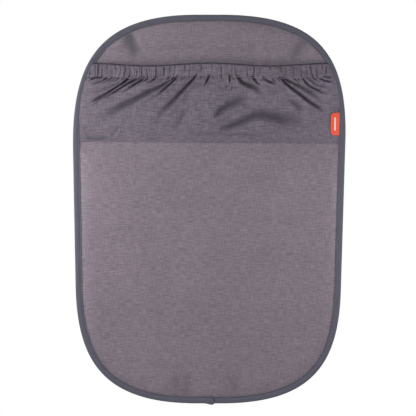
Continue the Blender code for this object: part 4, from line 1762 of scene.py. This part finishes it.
@dataclass
class HeadrestStrap:
    """Two webbing halves behind the mat, closed by hook and loop at the middle."""

    height: float = 0.560
    edge: float = 0.046
    width: float = 0.025
    thickness: float = 0.0015
    lap: float = 0.100
    rise: float = 0.050
    patch: tuple[float, float, float] = (0.080, 0.020, 0.0012)
    points: tuple[int, int, int] = (90, 150, 40)

    def strip(self, name: str, x: Array, behind: Array, width: float, thickness: float,
              finish: Finish, node: str) -> Piece:
        """Make one strip of the strap and dress it.

        Args:
            name: The piece's name.
            x: Places along it.
            behind: How far behind the back face its middle is at each place.
            width: Its width.
            thickness: Its thickness.
            finish: Its finish.
            node: The CAD node that it stands for.

        Returns:
            The strip.
        """
        line = np.column_stack((x, behind + 0 * x))
        return dress(ribbon(name, line, self.height, width, thickness), finish, "webbing", node)

    def build(self) -> list[Piece]:
        """Make both halves and the two patches, and dress them.

        Returns:
            The right half, the left half and the patches.
        """
        near = GAP + self.thickness / 2
        length, patch_width, patch_thickness = self.patch
        pitch = self.thickness + 2 * patch_thickness + 3 * GAP
        end = self.lap / 2
        right = float(OUTLINE.side_x(OUTLINE.right, self.height, self.edge))
        left = float(OUTLINE.side_x(OUTLINE.left, self.height, self.edge))
        right_points, left_points, patch_points = self.points
        x = np.linspace(-end, right, right_points)
        made = [self.strip("strap_right", x, near, self.width, self.thickness, WEB_FINISH,
                           "headrest_strap_right")]
        x = np.linspace(left, end, left_points)
        lift = pitch * ease(x, -end - GAP - self.rise, -end - GAP)
        made.append(self.strip("strap_left", x, near + lift, self.width, self.thickness,
                               WEB_FINISH, "headrest_strap_left"))
        x = np.linspace(-length / 2, length / 2, patch_points)
        behind = 2 * GAP + self.thickness + patch_thickness / 2
        for name, node in (("hook_patch", "strap_hook_patch"), ("loop_patch", "strap_loop_patch")):
            made.append(self.strip(name, x, behind, patch_width, patch_thickness, PILE_FINISH,
                                   node))
            behind += patch_thickness + GAP
        return made


@dataclass
class LowerBand:
    """The elastic band that holds the mat's lower end to the seat."""

    height: float = 0.120
    edge: float = 0.037
    width: float = 0.030
    thickness: float = 0.0012
    points: int = 120

    def build(self) -> Piece:
        """Make the band and dress it.

        Returns:
            The band.
        """
        ends = [float(OUTLINE.side_x(side, self.height, self.edge))
                for side in (OUTLINE.left, OUTLINE.right)]
        x = np.linspace(*ends, self.points)
        line = np.column_stack((x, GAP + self.thickness / 2 + 0 * x))
        return dress(ribbon("lower_elastic", line, self.height, self.width, self.thickness),
                     KNIT_FINISH, "elastic", "lower_band")


# Stitching


@dataclass
class Stitching:
    """Lockstitch seams: one thread stitch, copied along each seam."""

    # One stitch
    length: float = 0.0026
    gap: float = 0.0009
    thickness: float = 0.00042
    flatness: float = 0.8
    cuts: float = 0.28
    end_narrow: float = 0.55
    end_flat: float = 0.5
    dive: float = 0.55
    # The seam along the tape
    edge_lift: float = 0.00012
    edge_stop: float = 0.001
    edge_points: int = 1600
    # The tack on the tape's lapped end, whose black stitches also stand in for the shadow there
    tack_lift: float = 0.0003
    tacks: tuple[float, ...] = (0.0008, 0.0012, 0.0016, 0.0020, 0.0024)
    tack_run: float = 0.0055
    tack_start: float = 0.0035
    tack_drop: float = 0.0015
    tack_points: int = 12
    # The seam under the casing
    casing_lift: float = 0.0002
    casing_end: float = 0.965
    # The box seams at the straps' ends
    box_margin: float = 0.0025
    box_share: float = 0.8
    box_ends: tuple[float, float] = (0.03, 0.97)
    box_points: int = 20
    box_lift: float = 0.0001

    def stitch(self) -> tuple[Array, Array]:
        """One stitch along X that dives into the cloth at both ends.

        Returns:
            Its points, and its faces as four point numbers each.
        """
        bpy.ops.object.select_all(action="DESELECT")
        bpy.ops.mesh.primitive_cube_add(size=1.0)
        obj = bpy.context.active_object
        obj.scale = (self.length, self.thickness, self.thickness * self.flatness)
        bpy.ops.object.transform_apply(location=False, rotation=False, scale=True)
        bpy.ops.object.mode_set(mode="EDIT")
        for x in (self.length * self.cuts, -self.length * self.cuts):
            bpy.ops.mesh.select_all(action="SELECT")
            bpy.ops.mesh.bisect(plane_co=(x, 0, 0), plane_no=(1, 0, 0))
        bpy.ops.object.mode_set(mode="OBJECT")
        for vertex in obj.data.vertices:
            if abs(vertex.co.x) > self.length * (self.cuts + 0.5) / 2:
                vertex.co.y *= self.end_narrow
                vertex.co.z = vertex.co.z * self.end_flat - self.thickness * self.dive
        round_off = obj.modifiers.new("Round thread", "SUBSURF")
        round_off.levels = round_off.render_levels = 1
        bpy.ops.object.modifier_apply(modifier=round_off.name)
        points = np.array([v.co for v in obj.data.vertices])
        faces = np.array([list(p.vertices) for p in obj.data.polygons])
        bpy.data.objects.remove(obj)
        return points, faces

    def seam(self, name: str, lines: list[tuple[Array, Array]], finish: Finish, slot: str,
             ) -> Piece:
        """Stitches along some lines.

        Args:
            name: The piece's name.
            lines: Each line's points and the outward directions there, both as (n, 3).
            finish: Thread finish.
            slot: The record's material slot.

        Returns:
            The seam as one piece.
        """
        thread, quads = self.stitch()
        pitch = self.length + self.gap
        points, faces = [], []
        for line, normals in lines:
            run = run_along(line)
            count = max(1, int(run[-1] / pitch))
            middle = (np.arange(count) + 0.5) * run[-1] / count
            at = at_run(middle, run, line)
            heading = unit(at_run(middle + pitch / 3, run, line)
                           - at_run(middle - pitch / 3, run, line))
            cross = unit(np.cross(at_run(middle, run, normals), heading))
            out = np.cross(heading, cross)
            for k in range(count):
                faces.append(quads + len(thread) * len(points))
                points.append(thread @ np.stack((heading[k], cross[k], out[k])) + at[k])
        mesh = bpy.data.meshes.new(name)
        mesh.from_pydata(np.vstack(points).tolist(), [], np.vstack(faces).tolist())
        return dress(add_object(name, mesh), finish, slot)

    def edge_seams(self, tape: EdgeTape) -> Piece:
        """Sew the seam that holds the tape, seen at the front and at the back.

        Args:
            tape: The tape.

        Returns:
            The seam.
        """
        total = OUTLINE.loop()[2][-1]
        end = total + tape.lap - self.edge_stop
        surface = tape.surface(np.linspace(tape.lap, end, self.edge_points))
        inset = tape.section()[0]
        front = int(np.abs(inset[: len(inset) // 2] - tape.seam).argmin())
        back = len(inset) - 1 - front
        lines = []
        for row, toward in ((front, TO_FRONT), (back, TO_BACK)):
            out = facing(surface[row], toward)
            lines.append((surface[row] + out * self.edge_lift, out))
        return self.seam("edge_stitches", lines, DARK_THREAD, "binding_tape")

    def lap_tack_and_shadow(self, tape: EdgeTape) -> Piece:
        """Sew the black tack that holds down the end of the lapped tape; its stitches also stand in
        for the shadow at the tape's end, as painted shadow.

        Args:
            tape: The tape.

        Returns:
            The tack.
        """
        end = OUTLINE.loop()[2][-1] + tape.lap
        inset = tape.section()[0]
        rows = [k for k in range(len(inset) // 2) if self.tack_start < inset[k] < tape.seam]
        lines = []
        for back in self.tacks:
            surface = tape.surface(np.linspace(end - self.tack_run, end - back, self.tack_points))
            for line in (surface[rows, -1], surface[rows[0]] + [0.0, 0.0, back - self.tack_drop]):
                out = facing(line, TO_FRONT)
                lines.append((line + out * self.tack_lift, out))
        return self.seam("lap_stitches_and_shadow", lines, BLACK_THREAD, "binding_tape")

    def casing_seam(self, pocket: Pocket) -> Piece:
        """Sew the seam that closes the casing under the elastic.

        Args:
            pocket: The pocket.

        Returns:
            The seam.
        """
        share = np.linspace(-self.casing_end, self.casing_end, pocket.casing_columns)
        line = pocket.casing_surface(share)[0][-1]
        out = facing(line, TO_FRONT)
        return self.seam("casing_stitches", [(line + out * self.casing_lift, out)], CLOTH_THREAD,
                         "face_cloth")

    def box(self, x: float, sign: int, part: HeadrestStrap | LowerBand
            ) -> list[tuple[Array, Array]]:
        """The lines of one box seam with a cross, at a strap's sewn end.

        Args:
            x: The strap's end.
            sign: 1 at the right end and -1 at the left end.
            part: The strap.

        Returns:
            Each line's points and outward directions.
        """
        size = self.box_share * part.width
        near, far = x - sign * (self.box_margin + size), x - sign * self.box_margin
        low, high = part.height - size / 2, part.height + size / 2
        corners = np.array(((near, low), (far, low), (far, high), (near, high)))
        t = np.linspace(*self.box_ends, self.box_points)[:, None]
        lines = []
        for walk in ((0, 1, 2, 3, 0, 2), (1, 3)):
            for a, b in zip(walk, walk[1:]):
                way = corners[a] + (corners[b] - corners[a]) * t
                behind = GAP + part.thickness + self.box_lift
                line = place(way[:, 0], way[:, 1], np.array(-behind))
                lines.append((line, facing(line, TO_BACK)))
        return lines

    def strap_seams(self, strap: HeadrestStrap, band: LowerBand) -> Piece:
        """Sew box seams with a cross at the straps' sewn ends.

        Args:
            strap: The strap for the headrest.
            band: The elastic band near the bottom.

        Returns:
            The seams.
        """
        lines = []
        for part in (strap, band):
            for side in (OUTLINE.left, OUTLINE.right):
                x = float(OUTLINE.side_x(side, part.height, part.edge))
                lines += self.box(x, side.sign, part)
        return self.seam("strap_stitches", lines, BLACK_THREAD, "webbing")


# Studio


@dataclass(frozen=True)
class Lamp:
    """A square area lamp aimed at the mat, with its side in metres and its power in watts."""

    name: str
    position: tuple[float, float, float]
    size: float
    power: float

    def build(self) -> None:
        """Add the lamp, unseen by the camera."""
        data = bpy.data.lights.new(self.name, "AREA")
        data.size = self.size
        data.energy = self.power
        lamp = bpy.data.objects.new(self.name, data)
        lamp.visible_camera = False
        lamp.location = self.position
        lamp.rotation_euler = (-Vector(self.position)).to_track_quat("-Z", "Y").to_euler()
        bpy.context.scene.collection.objects.link(lamp)


@dataclass
class Studio:
    """White surroundings, a pale floor, soft lamps and the camera."""

    lamps: tuple[Lamp, ...] = (
        Lamp("Key lamp", (-0.80, -1.8, 0.95), 0.6, 13.4),
        Lamp("Left lamp", (-0.56, -0.25, 0.06), 0.25, 1.7),
        Lamp("Right lamp", (0.50, -0.22, -0.03), 0.25, 0.87),
        Lamp("Back lamp", (0.9, 2.2, 1.2), 1.6, 60.0),
    )
    room_colour: str = "#f2f6ff"
    room_strength: float = 0.19
    floor_colour: str = "#f4f4f4"
    floor_fade: float = 0.35
    sensor: float = 36.0
    distance: float = 3.0
    frame_width: float = 0.6796
    aim: tuple[float, float] = (-0.0020, 0.0017)
    floor_drop: float = 0.62
    floor_size: float = 3.0
    floor_points: int = 96
    camera_reach: float = 50.0

    def world(self) -> None:
        """Even light all round, and plain white where the camera looks past the mat."""
        world = bpy.data.worlds.new("Soft white room")
        bpy.context.scene.world = world
        world.use_nodes = True
        tree = world.node_tree
        tree.nodes.clear()
        path = add_node(tree, "LightPath")
        seen = path.outputs["Is Camera Ray"]
        for name in ("Is Glossy Ray", "Is Transmission Ray"):
            seen = add_node(tree, "Math", {"operation": "MAXIMUM"}, {
                0: seen, 1: path.outputs[name]}).outputs[0]
        room = add_node(tree, "Background", inputs={
            "Color": linear(self.room_colour), "Strength": self.room_strength})
        white = add_node(tree, "Background", inputs={"Color": (1, 1, 1, 1), "Strength": 1.0})
        mixed = add_node(tree, "MixShader", inputs={
            0: seen, 1: room.outputs[0], 2: white.outputs[0]})
        add_node(tree, "OutputWorld", inputs={"Surface": mixed.outputs[0]})

    def floor(self) -> None:
        """A pale floor below the hanging mat that fades into the white around it."""
        bpy.ops.object.select_all(action="DESELECT")
        bpy.ops.mesh.primitive_circle_add(
            vertices=self.floor_points, radius=self.floor_size / 2, fill_type="NGON",
            location=(0, 0, -self.floor_drop))
        floor = bpy.context.active_object
        floor.name = "pale_floor"
        bpy.ops.object.transform_apply(location=True)
        made = bpy.data.materials.new("Pale matt floor")
        made.use_nodes = True
        tree = made.node_tree
        tree.nodes.clear()
        at = add_node(tree, "TexCoord").outputs["Object"]
        flat = add_node(tree, "VectorMath", {"operation": "MULTIPLY"}, {
            0: at, 1: (1.0, 1.0, 0.0)})
        away = add_node(tree, "VectorMath", {"operation": "LENGTH"}, {0: flat.outputs[0]})
        fade = add_node(tree, "MapRange", {"interpolation_type": "SMOOTHSTEP"}, {
            "Value": away.outputs["Value"], "From Min": self.floor_fade,
            "From Max": self.floor_size / 2})
        seen = add_node(tree, "Math", {"operation": "MULTIPLY"}, {
            0: add_node(tree, "LightPath").outputs["Is Camera Ray"], 1: fade.outputs["Result"]})
        matt = add_node(tree, "BsdfDiffuse", inputs={"Color": linear(self.floor_colour)})
        white = add_node(tree, "Emission", inputs={"Color": (1, 1, 1, 1), "Strength": 1.0})
        mixed = add_node(tree, "MixShader", inputs={
            0: seen.outputs[0], 1: matt.outputs[0], 2: white.outputs[0]})
        add_node(tree, "OutputMaterial", inputs={"Surface": mixed.outputs[0]})
        floor.data.materials.append(made)

    def camera(self) -> None:
        """A long lens straight in front of the mat."""
        data = bpy.data.cameras.new("Front camera")
        data.sensor_width = self.sensor
        data.lens = data.sensor_width * self.distance / self.frame_width
        data.clip_end = self.camera_reach
        camera = bpy.data.objects.new("Front camera", data)
        camera.location = (self.aim[0], -self.distance, self.aim[1])
        camera.rotation_euler = (math.pi / 2, 0.0, 0.0)
        bpy.context.scene.collection.objects.link(camera)
        bpy.context.scene.camera = camera

    def build(self) -> None:
        """Set up the whole studio."""
        bpy.context.scene.view_settings.view_transform = "Standard"
        self.world()
        self.floor()
        for lamp in self.lamps:
            lamp.build()
        self.camera()


def main() -> None:
    """Build the mat and its studio in order."""
    logging.basicConfig(level=logging.INFO, format="%(message)s")
    Studio().build()
    tape, pocket, strap, band = EdgeTape(), Pocket(), HeadrestStrap(), LowerBand()
    FacePanel().build()
    BackPanel().build()
    tape.build()
    pocket.build()
    SideLabel().build(pocket)
    strap.build()
    band.build()
    stitching = Stitching()
    stitching.edge_seams(tape)
    stitching.lap_tack_and_shadow(tape)
    stitching.casing_seam(pocket)
    stitching.strap_seams(strap, band)


if __name__ == "__main__":
    main()
